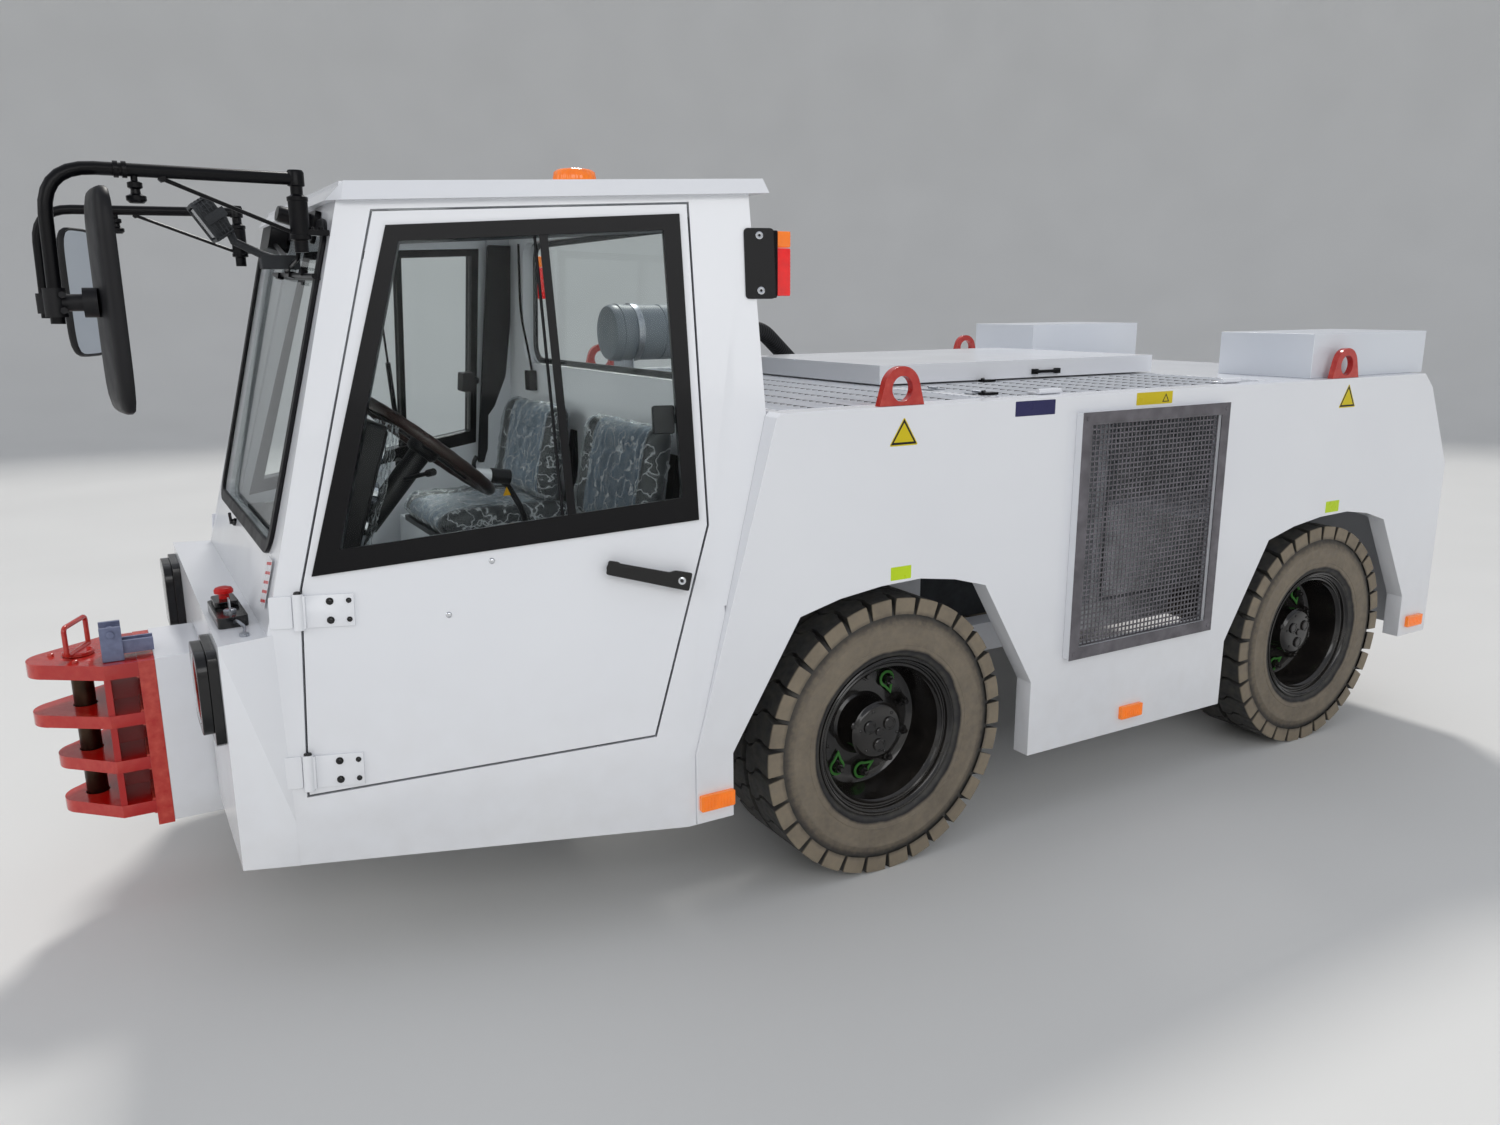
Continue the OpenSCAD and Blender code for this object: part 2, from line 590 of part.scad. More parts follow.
// Doors
hinge_u = 828;
module door() on_side() {
  difference() {
    linear_extrude(door_t) polygon(uvs(door_pts));
    translate([0, 0, -1]) linear_extrude(door_t + 2) offset(delta = -10) polygon(uvs(sash_pts));
  }
  // hinge leaves and barrels, which stand off the door's front edge
  for (z = [826, 490]) translate([0, uv([1339, z])[1], 0]) {
    translate([hinge_u, 0, -12]) rotate([90, 0, 0]) cylinder(h = 76, r = 11, center = true, $fn = 28);
    span([hinge_u - 110, -34, -6], [hinge_u - 6, 34, -0.6]);
    span([hinge_u - 110, -34, -1], [hinge_u - 36, 34, 0]);
    span([hinge_u - 14, -34, -16], [hinge_u - 6, 34, -0.6]);
  }
  // pull handle
  a = uv([575, 851]);
  b = uv([719, 886]);
  for (p = [a, b]) translate([p[0], p[1], -34]) cylinder(h = 34, r = 12, $fn = 24);
  translate([0, 0, -34]) linear_extrude(12) hull() {
    translate(a) circle(r = 14, $fn = 24);
    translate(b) circle(r = 14, $fn = 24);
  }
}

module sash() on_side() {
  translate([0, 0, -5]) linear_extrude(5) difference() {
    polygon(uvs(sash_pts));
    polygon(uvs(pane_pts));
  }
  linear_extrude(door_t) difference() {
    offset(delta = -10.3) polygon(uvs(sash_pts));
    polygon(uvs(pane_pts));
  }
  a = uv([791, 1600]);
  b = uv([790, 1000]);
  translate([0, 0, -4]) linear_extrude(13) polygon([[a[0] - 9, a[1]], [a[0] + 9, a[1]], [b[0] + 9, b[1]], [b[0] - 9, b[1]]]);
}

module pane() on_side() translate([0, 0, 10]) linear_extrude(5) offset(delta = -0.2) polygon(uvs(pane_pts));

module door_left() color(white) in_row() door();
module sash_left() color(black) in_row() sash();
module glass_left() color(glass) in_row() pane();
module door_right() color(white) in_row() mirror([0, 1, 0]) door();
module sash_right() color(black) in_row() mirror([0, 1, 0]) sash();
module glass_right() color(glass) in_row() mirror([0, 1, 0]) pane();

chassis();
front_axle();
rear_axle();
side_panels();
rear_panel();
grilles();
deck_frame();
deck_grating();
grating_lid();
engine_cover();
deck_boxes();
engine_block();
tow_jaws();
tow_pins();
cab_shell();
roof();
cab_glass();
window_seals();
dashboard();
steering_wheel();
seats();
lamps();
mirror_arms();
mirrors();
wiper();
tail_lamps();
amber_lamps();
lifting_eyes();
air_intake();
door_left();
sash_left();
glass_left();
door_right();
sash_right();
glass_right();
knuckle_left();
knuckle_right();
wheel_fl();
tyre_fl();
wheel_fr();
tyre_fr();
wheel_rl();
tyre_rl();
wheel_rr();
tyre_rr();
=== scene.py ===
import json
import math

import bmesh
import bpy
import numpy as np
from mathutils import Matrix, Vector, noise


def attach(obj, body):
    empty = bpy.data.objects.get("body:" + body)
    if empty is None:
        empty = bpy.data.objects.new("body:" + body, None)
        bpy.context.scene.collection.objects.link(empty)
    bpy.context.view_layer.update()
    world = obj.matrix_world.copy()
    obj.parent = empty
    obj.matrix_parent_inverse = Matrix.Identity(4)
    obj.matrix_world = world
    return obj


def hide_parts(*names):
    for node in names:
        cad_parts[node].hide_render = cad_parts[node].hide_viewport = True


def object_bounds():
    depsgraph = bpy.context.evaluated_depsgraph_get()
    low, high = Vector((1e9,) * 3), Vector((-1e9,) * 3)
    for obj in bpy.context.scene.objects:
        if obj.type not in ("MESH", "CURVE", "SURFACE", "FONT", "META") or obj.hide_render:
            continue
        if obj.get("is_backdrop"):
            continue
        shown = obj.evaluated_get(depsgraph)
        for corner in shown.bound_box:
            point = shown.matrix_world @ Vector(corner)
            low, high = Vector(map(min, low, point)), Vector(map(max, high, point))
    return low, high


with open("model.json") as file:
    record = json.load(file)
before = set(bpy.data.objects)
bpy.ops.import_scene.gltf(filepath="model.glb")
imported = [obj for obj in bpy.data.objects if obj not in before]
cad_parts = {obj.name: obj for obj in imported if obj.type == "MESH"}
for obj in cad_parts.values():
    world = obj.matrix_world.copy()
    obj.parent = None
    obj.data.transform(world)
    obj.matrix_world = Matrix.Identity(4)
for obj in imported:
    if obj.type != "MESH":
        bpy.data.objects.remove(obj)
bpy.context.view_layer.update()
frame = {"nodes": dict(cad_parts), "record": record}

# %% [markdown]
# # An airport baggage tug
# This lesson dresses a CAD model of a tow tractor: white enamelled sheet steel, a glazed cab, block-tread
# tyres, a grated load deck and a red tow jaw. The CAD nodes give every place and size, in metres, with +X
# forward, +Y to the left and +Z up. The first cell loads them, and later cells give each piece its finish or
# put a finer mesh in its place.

AXLE_X = 0.3835        # front axle, forward of the middle of the length
WHEEL_BASE = 1.744
AXLE_Z = 0.3666
TRACK_HALF = 0.748     # middle of a wheel, from the centreline
HALF_WIDTH = 0.905     # outer face of a side panel
DECK_Z = 1.214
TYRE_RADIUS = 0.3666
SIDES = ((1, "left"), (-1, "right"))
SEAT_PLACES = (("left", 0.35), ("right", -0.33))      # the seat's name and its middle

# %% [markdown]
# ## The camera
# The photograph was taken standing by the left front corner, from about 1.45 m above the ground and 3 m from
# the centreline, with a wide lens. The place, aim and lens below were solved from the wheels, the panel's
# outline and the deck. Blender's camera looks along its own -Z with +Y up, so its matrix is built from the
# three directions right, up and backward.

# %% Camera at the photograph's viewpoint
heading, dip, roll = math.radians(-120.365), math.radians(13.038), math.radians(-0.268)
ahead = Vector((math.cos(heading) * math.cos(dip), math.sin(heading) * math.cos(dip), -math.sin(dip)))
level = ahead.cross(Vector((0, 0, 1))).normalized()
above = level.cross(ahead)
right = level * math.cos(roll) + above * math.sin(roll)
upright = above * math.cos(roll) - level * math.sin(roll)

lens = bpy.data.cameras.new("photo_lens")
lens.sensor_width = 36.0
lens.lens = 27.02
camera = bpy.data.objects.new("photo_camera", lens)
bpy.context.collection.objects.link(camera)
turned_to = Matrix((right, upright, -ahead)).transposed().to_4x4()
camera.matrix_world = Matrix.Translation((2.0585, 3.017, 1.454)) @ turned_to
bpy.context.scene.camera = camera
print("camera at", [round(v, 2) for v in camera.location])

# %% [markdown]
# ## Helpers for meshes
# Most pieces are bent sheet, turned parts, tubes and bolted plates. So four small helpers cover them: a prism
# from an outline, a turned shape from a profile, a tube along points and a box. Each adds its faces to a
# bmesh, and `piece` turns the bmesh into an object at the origin that rides on a CAD body, with a bevel for
# the rounded edges that catch the light.

# %% Mesh helpers
def prism(bm, outline, at, depth):
    """Extrudes a closed outline of 2-D points; `at(u, v, w)` places a point, with w from 0 to depth."""
    low = [bm.verts.new(at(u, v, 0.0)) for u, v in outline]
    high = [bm.verts.new(at(u, v, depth)) for u, v in outline]
    bm.faces.new(low[::-1])
    bm.faces.new(high)
    for i in range(len(outline)):
        j = (i + 1) % len(outline)
        bm.faces.new((low[i], low[j], high[j], high[i]))


def frame_prism(bm, outer, inner, at, depth):
    """A flat ring between two outlines with the same number of points."""
    rings = [[bm.verts.new(at(u, v, w)) for u, v in line] for line in (outer, inner) for w in (0.0, depth)]
    out_low, out_high, in_low, in_high = rings
    for i in range(len(outer)):
        j = (i + 1) % len(outer)
        bm.faces.new((out_low[i], out_low[j], out_high[j], out_high[i]))
        bm.faces.new((in_low[j], in_low[i], in_high[i], in_high[j]))
        bm.faces.new((out_high[i], out_high[j], in_high[j], in_high[i]))
        bm.faces.new((out_low[j], out_low[i], in_low[i], in_low[j]))


def turned(bm, profile, at, segments=48, closed=False):
    """Turns a profile of (radius, height) points; `at(x, y, height)` places a point."""
    rings = []
    for radius, height in profile:
        if radius < 1e-6:
            rings.append([bm.verts.new(at(0.0, 0.0, height))])
            continue
        angles = (2 * math.pi * k / segments for k in range(segments))
        rings.append([bm.verts.new(at(radius * math.cos(a), radius * math.sin(a), height)) for a in angles])
    pairs = list(zip(rings, rings[1:] + (rings[:1] if closed else [])))
    for lower, upper in pairs[: len(rings) if closed else len(rings) - 1]:
        for k in range(segments):
            n = (k + 1) % segments
            corners = [lower[k % len(lower)], lower[n % len(lower)], upper[n % len(upper)], upper[k % len(upper)]]
            corners = list(dict.fromkeys(corners))
            if len(corners) > 2:
                bm.faces.new(corners)


def tube(bm, points, radius, segments=16, closed=False):
    """Sweeps a circle along points; radius is a number or one for each point."""
    points = [Vector(p) for p in points]
    count = len(points)
    radii = radius if isinstance(radius, (list, tuple)) else [radius] * count
    side = None
    rings = []
    for i, point in enumerate(points):
        before = points[i - 1] if i or closed else point
        after = points[(i + 1) % count] if i < count - 1 or closed else point
        run = (after - point).normalized() + (point - before).normalized()
        run.normalize()
        if side is None:
            side = run.orthogonal().normalized()
        side = (side - run * side.dot(run)).normalized()
        other = run.cross(side)
        rings.append([bm.verts.new(point + radii[i] * (side * math.cos(a) + other * math.sin(a)))
                      for a in (2 * math.pi * k / segments for k in range(segments))])
    for i in range(count if closed else count - 1):
        lower, upper = rings[i], rings[(i + 1) % count]
        for k in range(segments):
            n = (k + 1) % segments
            bm.faces.new((lower[k], lower[n], upper[n], upper[k]))
    if not closed:
        bm.faces.new(rings[0][::-1])
        bm.faces.new(rings[-1])


def box(bm, low, high, place=None):
    """A box between two corners, moved by a matrix where it leans."""
    corners = [Vector((x, y, z)) for z in (low[2], high[2]) for x, y in
               ((low[0], low[1]), (high[0], low[1]), (high[0], high[1]), (low[0], high[1]))]
    verts = [bm.verts.new(place @ c if place else c) for c in corners]
    for face in ((3, 2, 1, 0), (4, 5, 6, 7), (0, 1, 5, 4), (1, 2, 6, 5), (2, 3, 7, 6), (3, 0, 4, 7)):
        bm.faces.new([verts[i] for i in face])


def rounded(points, radius, steps=4):
    """Rounds the corners of a closed 2-D outline."""
    result = []
    for i, (x, y) in enumerate(points):
        here, before, after = Vector((x, y)), Vector(points[i - 1]), Vector(points[(i + 1) % len(points)])
        a, b = (before - here).normalized(), (after - here).normalized()
        reach = min(radius, (before - here).length * 0.45, (after - here).length * 0.45)
        start, end = here + a * reach, here + b * reach
        for k in range(steps + 1):
            t = k / steps
            result.append(tuple(start * (1 - t) ** 2 + here * 2 * t * (1 - t) + end * t * t))
    return result


def as_mesh(bm, name):
    """The bmesh as mesh data; the bmesh itself is given up."""
    mesh = bpy.data.meshes.new(name)
    bm.to_mesh(mesh)
    bm.free()
    return mesh


def rectangle(x0, x1, z0, z1, radius=0.002, steps=2):
    """A rectangle's outline with rounded corners."""
    return rounded([(x0, z0), (x1, z0), (x1, z1), (x0, z1)], radius, steps)


def piece(name, bm, finish, body, bevel=0.0, angle=35, replaces=(), outward=True):
    """A finished object on a CAD body, made from a bmesh or a mesh."""
    if isinstance(bm, bmesh.types.BMesh):
        bmesh.ops.remove_doubles(bm, verts=bm.verts, dist=1e-6)
        if outward:
            bmesh.ops.recalc_face_normals(bm, faces=bm.faces)
        mesh = as_mesh(bm, name)
    else:
        mesh = bm
    if len(mesh.materials):
        mesh.materials.clear()
    for entry in finish if isinstance(finish, (list, tuple)) else [finish]:
        mesh.materials.append(entry)
    mesh.shade_smooth()
    mesh.set_sharp_from_angle(angle=math.radians(angle))
    made = bpy.data.objects.new(name, mesh)
    bpy.context.collection.objects.link(made)
    if bevel:
        edge = made.modifiers.new("edge", "BEVEL")
        edge.width, edge.segments, edge.limit_method = bevel, 2, "ANGLE"
        edge.angle_limit = math.radians(angle)
        edge.harden_normals = True
    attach(made, body)
    if replaces:
        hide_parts(*replaces)
    return made


def plain(x, y, z):
    """A point as it is given."""
    return Vector((x, y, z))

# %% [markdown]
# ## Helpers for finishes
# Every finish is a node tree on the Principled shader. Hex colours are written as they look on a screen, and
# `linear` turns them into the linear values that the renderer adds up. Object coordinates are in metres, so a
# noise that should have lumps of 3 mm gets a scale of 1 / 0.003.

# %% Finish helpers
def linear(code):
    """An sRGB hex colour as linear red, green, blue and alpha."""
    parts = [int(code[i:i + 2], 16) / 255 for i in (1, 3, 5)]
    return tuple(p / 12.92 if p <= 0.04045 else ((p + 0.055) / 1.055) ** 2.4 for p in parts) + (1.0,)


def add(tree, kind, links=None, values=None, **settings):
    """Adds one node: settings are its attributes, values its constants and links its incoming sockets."""
    node = tree.nodes.new(kind)
    for key, value in settings.items():
        setattr(node, key, value)
    for key, value in (values or {}).items():
        node.inputs[key].default_value = value
    for key, source in (links or {}).items():
        tree.links.new(source, node.inputs[key])
    return node


def finish(name, **constants):
    """A new material with one Principled shader, whose constants are set on its own sockets."""
    made = bpy.data.materials.new(name)
    made.use_nodes = True
    tree = made.node_tree
    tree.nodes.clear()
    shader = add(tree, "ShaderNodeBsdfPrincipled")
    for key, value in constants.items():
        shader.inputs[key.replace("_", " ")].default_value = value
    add(tree, "ShaderNodeOutputMaterial", links={0: shader.outputs[0]})
    return made, tree, shader


def lumps(tree, size_mm, low, high, detail=2.0, stretch=(1, 1, 1), middle=0.5, spread=0.25, where=None):
    """A noise with lumps of a real size, which runs from low to high."""
    if where is None:
        where = add(tree, "ShaderNodeTexCoord").outputs["Object"]
    turned_to = add(tree, "ShaderNodeMapping", links={0: where}, values={"Scale": stretch})
    grain = add(tree, "ShaderNodeTexNoise", links={0: turned_to.outputs[0]},
                values={"Scale": 1000 / size_mm, "Detail": detail})
    return add(tree, "ShaderNodeMapRange", links={0: grain.outputs[0]},
               values={1: middle - spread, 2: middle + spread, 3: low, 4: high}).outputs[0]


def blend_of(tree, share, first, second):
    """Mixes two colours, each a socket or a hex code, by a share from 0 to 1."""
    mix = add(tree, "ShaderNodeMix", data_type="RGBA", links={0: share})
    for key, value in ((6, first), (7, second)):
        if isinstance(value, str):
            mix.inputs[key].default_value = linear(value)
        else:
            tree.links.new(value, mix.inputs[key])
    return mix.outputs[2]


def relief(tree, shader, height, depth_mm, strength=1.0):
    """Lets a height pattern of a real depth bend the shader's normals."""
    bump = add(tree, "ShaderNodeBump", links={"Height": height},
               values={"Distance": depth_mm / 1000, "Strength": strength})
    tree.links.new(bump.outputs[0], shader.inputs["Normal"])

# %% [markdown]
# ## Studio
# A pale floor runs into a pale wall all round in one sweep, so no horizon cuts behind the vehicle and every
# view has the same background. The light is plain: an even sky, a soft sun from behind the right side, as in
# the photograph, which makes the deck and roof brightest, and a large lamp beside the camera that keeps the
# near side clear. White enamel has to stay below white, so the lamps are kept low.

# %% Floor, walls and lamps
sweep = bmesh.new()
bend = [(0.0, 0.0), (11.0, 0.0)]
bend += [(11.0 + 5.0 * math.sin(a), 5.0 - 5.0 * math.cos(a)) for a in (math.radians(9 * k) for k in range(1, 11))]
turned(sweep, bend + [(16.0, 9.0)], plain, segments=96)
floor_finish, tree, shader = finish("studio_paper", Roughness=0.85, Specular_IOR_Level=0.2)
mottle = lumps(tree, 900, 0.0, 1.0, detail=1.0)
tree.links.new(blend_of(tree, mottle, "#d6d6d4", "#dadad8"), shader.inputs["Base Color"])
bmesh.ops.recalc_face_normals(sweep, faces=sweep.faces)
bmesh.ops.reverse_faces(sweep, faces=sweep.faces)
mesh = as_mesh(sweep, "studio_floor")
mesh.shade_smooth()
mesh.materials.append(floor_finish)
floor = bpy.data.objects.new("studio_floor", mesh)
bpy.context.collection.objects.link(floor)
floor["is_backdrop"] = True

sky = bpy.data.worlds.new("studio_sky")
bpy.context.scene.world = sky
sky.use_nodes = True
sky.node_tree.nodes["Background"].inputs[0].default_value = linear("#eef2fb")
sky.node_tree.nodes["Background"].inputs[1].default_value = 0.62


def lamp(name, kind, energy, place, aim, **settings):
    """A lamp at a place, turned towards a point."""
    data = bpy.data.lights.new(name, kind)
    data.energy = energy
    for key, value in settings.items():
        setattr(data, key, value)
    made = bpy.data.objects.new(name, data)
    made.location = place
    made.rotation_euler = (Vector(aim) - Vector(place)).to_track_quat("-Z", "Y").to_euler()
    bpy.context.collection.objects.link(made)


lamp("soft_sun", "SUN", 1.7, (-3.0, -6.0, 8.5), (0, 0, 0.6), angle=math.radians(10), color=(1.0, 0.97, 0.93))
lamp("near_panel", "AREA", 130, (2.5, 8.0, 4.5), (0.0, 0.6, 0.7), shape="RECTANGLE", size=7.0, size_y=3.0)
lamp("front_panel", "AREA", 60, (8.0, 0.5, 4.0), (1.5, 0, 0.8), shape="RECTANGLE", size=5.0, size_y=3.0)
bpy.context.scene.view_settings.view_transform = "Standard"
print("floor and", len(bpy.data.lights), "lamps")

# %% [markdown]
# ## Paints
# The body is white two-pack enamel on sheet steel: glossy, with a faint orange peel of about 4 mm and a little
# road dust low down. The rims, hubs and frames are the same kind of paint in black, and the jaws and lifting
# eyes in red, worn a little paler along their edges, which Pointiness finds.

# %% Enamels
def enamel(name, colour, shade, rough, peel_mm=0.015, dust=0.0, worn=None, level=0.5, coat=0.35):
    """Gloss paint: two near tones, orange peel, dust near the ground and wear along edges."""
    made, tree, shader = finish(name, IOR=1.5, Coat_Weight=coat, Coat_Roughness=0.06, Specular_IOR_Level=level)
    tone = blend_of(tree, lumps(tree, 450, 0.0, 1.0), colour, shade)
    if worn:
        edges = add(tree, "ShaderNodeNewGeometry").outputs["Pointiness"]
        chipped = add(tree, "ShaderNodeMapRange", links={0: edges}, values={1: 0.52, 2: 0.6, 3: 0.0, 4: 1.0})
        patchy = add(tree, "ShaderNodeMath", operation="MULTIPLY",
                     links={0: chipped.outputs[0], 1: lumps(tree, 18, 0.0, 1.0, detail=4.0)})
        tone = blend_of(tree, patchy.outputs[0], tone, worn)
    roughness = lumps(tree, 260, rough - 0.02, rough + 0.03, detail=3.0)
    if dust:
        spot = add(tree, "ShaderNodeSeparateXYZ", links={0: add(tree, "ShaderNodeTexCoord").outputs["Object"]})
        low = add(tree, "ShaderNodeMapRange", links={0: spot.outputs[2]}, values={1: 0.75, 2: 0.2, 3: 0.0, 4: dust})
        share = add(tree, "ShaderNodeMath", operation="MULTIPLY",
                    links={0: low.outputs[0], 1: lumps(tree, 60, 0.2, 1.0, detail=5.0)})
        tone = blend_of(tree, share.outputs[0], tone, "#a79b8a")
    tree.links.new(tone, shader.inputs["Base Color"])
    tree.links.new(roughness, shader.inputs["Roughness"])
    relief(tree, shader, lumps(tree, 4, 0.0, 1.0), peel_mm)
    return made


white_enamel = enamel("white_enamel", "#e9ebef", "#e4e6eb", 0.24, peel_mm=0.007, dust=0.16)
black_enamel = enamel("black_enamel", "#08080a", "#0d0d10", 0.15, peel_mm=0.04, dust=0.06, level=0.4)
axle_enamel = enamel("black_chassis_paint", "#141416", "#1c1b1b", 0.38, peel_mm=0.1, dust=0.55, level=0.3,
                     coat=0.05)
red_enamel = enamel("red_enamel", "#b8140e", "#a60f0c", 0.22, peel_mm=0.06, worn="#d65a46")
satin_black = enamel("satin_black_powder_coat", "#08080b", "#0c0c0f", 0.3, peel_mm=0.03, level=0.15, coat=0.04)
blue_grey_enamel = enamel("pale_box_enamel", "#dfe3e9", "#d5dae2", 0.34, dust=0.0)
print(len(bpy.data.materials), "materials so far")

# %% [markdown]
# ## Metals, rubber and plastics
# The drop pins are oiled steel gone brown, and the bolts, catch and hinges are zinc plated. The grille is mild
# steel in thin satin grey paint that lets the metal's mottling through. Metals keep the default IOR.

# %% Metals
def metal(name, colour, shade, rough, size_mm, stretch=(1, 1, 1), depth_mm=0.05, metallic=1.0):
    """Bare or thinly painted metal with tone and roughness that vary over real sizes."""
    made, tree, shader = finish(name, Metallic=metallic)
    patches = lumps(tree, size_mm, 0.0, 1.0, detail=4.0, stretch=stretch)
    tree.links.new(blend_of(tree, patches, colour, shade), shader.inputs["Base Color"])
    tree.links.new(lumps(tree, size_mm / 3, rough - 0.08, rough + 0.1, stretch=stretch), shader.inputs["Roughness"])
    relief(tree, shader, lumps(tree, 2, 0.0, 1.0, stretch=stretch), depth_mm)
    return made


pin_steel = metal("oiled_brown_steel", "#4a3a2e", "#2c2420", 0.38, 30)
zinc_plate = metal("zinc_plated_steel", "#b9bcc2", "#9ea3ab", 0.32, 14)
catch_steel = metal("greased_cast_steel", "#7d84a0", "#666c86", 0.42, 20, metallic=0.6)
grille_steel = metal("grey_satin_steel", "#77747a", "#565458", 0.42, 45, depth_mm=0.12, metallic=0.55)
cast_iron = metal("painted_cast_iron", "#3b3e42", "#2b2d30", 0.6, 50, depth_mm=0.4, metallic=0.3)

# %% [markdown]
# Rubber and moulded plastic scatter light in a thin skin and shine weakly. Window seals are extruded EPDM,
# smooth along their length. Dashboard, lamp bodies and mirror shells are ABS with a fine moulded grain.

# %% Rubber and plastics
def moulded(name, colour, shade, rough, grain_mm, depth_mm, ior=1.5, level=0.3):
    """Moulded rubber or plastic with an even grain."""
    made, tree, shader = finish(name, IOR=ior, Specular_IOR_Level=level)
    tree.links.new(blend_of(tree, lumps(tree, 200, 0.0, 1.0), colour, shade), shader.inputs["Base Color"])
    tree.links.new(lumps(tree, 40, rough - 0.05, rough + 0.07), shader.inputs["Roughness"])
    relief(tree, shader, lumps(tree, grain_mm, 0.0, 1.0), depth_mm)
    return made


seal_rubber = moulded("extruded_epdm_rubber", "#0b0b0e", "#121216", 0.42, 3, 0.04, ior=1.52, level=0.2)
hose_rubber = moulded("corrugated_hose_rubber", "#121315", "#1a1b1e", 0.5, 2, 0.05, ior=1.52, level=0.3)
black_abs = moulded("black_grained_abs", "#0c0c0f", "#131317", 0.46, 1.6, 0.08, ior=1.54, level=0.25)
gloss_abs = moulded("black_gloss_abs", "#060608", "#0b0b0e", 0.16, 6, 0.01, ior=1.54, level=0.4)
grey_pp = moulded("grey_canister_plastic", "#7b838b", "#6c747d", 0.38, 5, 0.05)
red_abs = moulded("red_button_plastic", "#c5100d", "#b00d0b", 0.3, 4, 0.02)
green_pe = moulded("green_nut_pointer_plastic", "#43853a", "#366e2d", 0.45, 4, 0.02)

# %% [markdown]
# ## Sheet-steel bodywork
# The panels, cab shell, doors, roof and deck have the right shape in the CAD model, but every edge there is
# knife sharp. Real folded and welded sheet has edges of one or two millimetres radius, and those thin bright
# lines are what makes painted steel look real. So each node is copied, its loose triangles are merged into
# flat faces, and a bevel rounds the edges. The copy stands for the node.

# %% Bodywork with rounded edges
def refined(node, body, finish, bevel=0.0015, angle=30):
    """A copy of a CAD node with flat faces merged and edges rounded, shown in its place."""
    bm = bmesh.new()
    bm.from_mesh(frame["nodes"][node].data)
    bmesh.ops.remove_doubles(bm, verts=bm.verts, dist=3e-5)
    bmesh.ops.dissolve_limit(bm, angle_limit=math.radians(0.4), verts=bm.verts, edges=bm.edges)
    return piece(f"{node}_finished", bm, finish, body, bevel=bevel, angle=angle, replaces=[node], outward=False)


BODYWORK = (
    ("side_panels", white_enamel, 0.0016), ("rear_panel", white_enamel, 0.0012), ("cab_shell", white_enamel, 0.004),
    ("roof", white_enamel, 0.004), ("deck_frame", white_enamel, 0.002), ("engine_cover", white_enamel, 0.002),
    ("deck_boxes", blue_grey_enamel, 0.0018), ("chassis", white_enamel, 0.002), ("tow_jaws", red_enamel, 0.003),
    ("lifting_eyes", red_enamel, 0.003), ("front_axle", axle_enamel, 0.002), ("rear_axle", axle_enamel, 0.002),
    ("engine_block", cast_iron, 0.004), ("knuckle_left", axle_enamel, 0.0015),
    ("knuckle_right", axle_enamel, 0.0015),
    ("door_left", white_enamel, 0.0015), ("door_right", white_enamel, 0.0015),
)
body_of = {node: body for body, nodes in frame["record"]["behaviour"]["bodies"].items() for node in nodes}
for node, paint, width in BODYWORK:
    made = refined(node, body_of[node], paint, width)
    print(node, len(made.data.polygons), "faces")

# %% [markdown]
# ## Glass and lenses
# A pane is clear glass with a slight green tint. Light from a lamp has to reach the seats through it, so the
# shader lets shadow rays pass straight through. Lenses are tinted polycarbonate, a little rough.

# %% Clear and tinted materials
def clear(name, tint, rough, ior=1.45, passing=None):
    """Glass or a lens: refracts what is seen through it and lets shadow rays pass."""
    made, tree, shader = finish(name, Transmission_Weight=1.0, IOR=ior, Base_Color=linear(tint))
    tree.links.new(lumps(tree, 90, rough, rough * 1.5), shader.inputs["Roughness"])
    ray = add(tree, "ShaderNodeLightPath")
    through = add(tree, "ShaderNodeBsdfTransparent", values={0: linear(passing or tint)})
    mix = add(tree, "ShaderNodeMixShader",
              links={0: ray.outputs["Is Shadow Ray"], 1: shader.outputs[0], 2: through.outputs[0]})
    tree.links.new(mix.outputs[0], tree.nodes["Material Output"].inputs[0])
    return made


def lens_finish(name, colour, shade, rough=0.12):
    """A coloured lamp lens: part body colour, part transmission, and a faint painted glow in its own colour."""
    # The emission is a painted glow; no lamp shines behind the lens.
    made, tree, shader = finish(name, IOR=1.58, Transmission_Weight=0.15, Coat_Weight=0.5, Coat_Roughness=0.04,
                                Emission_Color=linear(colour), Emission_Strength=0.22)
    tree.links.new(blend_of(tree, lumps(tree, 30, 0.0, 1.0), colour, shade), shader.inputs["Base Color"])
    tree.links.new(lumps(tree, 25, rough, rough + 0.06), shader.inputs["Roughness"])
    return made


pane_glass = clear("float_glass", "#f8fcfb", 0.0, ior=1.12)
lamp_glass = clear("clear_polycarbonate_lens", "#f4f6f8", 0.03, ior=1.58)
red_lens = lens_finish("red_polycarbonate_lens", "#ef0206", "#c80208")
amber_lens = lens_finish("amber_polycarbonate_lens", "#fb8403", "#e66f02")
mirror_silver = metal("silvered_mirror_glass", "#dfe6ee", "#d6dee8", 0.02, 200, depth_mm=0.0)
chrome = metal("chromed_reflector", "#d8dade", "#c4c7cc", 0.08, 20, depth_mm=0.01)

for node, body in (("cab_glass", "tug"), ("glass_left", "door_l"), ("glass_right", "door_r")):
    refined(node, body, pane_glass, 0.0006)
for node, body in (("sash_left", "door_l"), ("sash_right", "door_r")):
    refined(node, body, satin_black, 0.002)
refined("window_seals", "tug", seal_rubber, 0.003)

# %% [markdown]
# ## Rows, rings and grids
# A grating has fifty equal bars, a tyre sixty equal blocks and a hub ten equal nuts. Geometry Nodes places
# each kind from one small mesh: `rows` on a grid of points and `ring` round an axis. Both trees end by
# realizing the instances and setting the material, and the result is turned into a plain mesh.

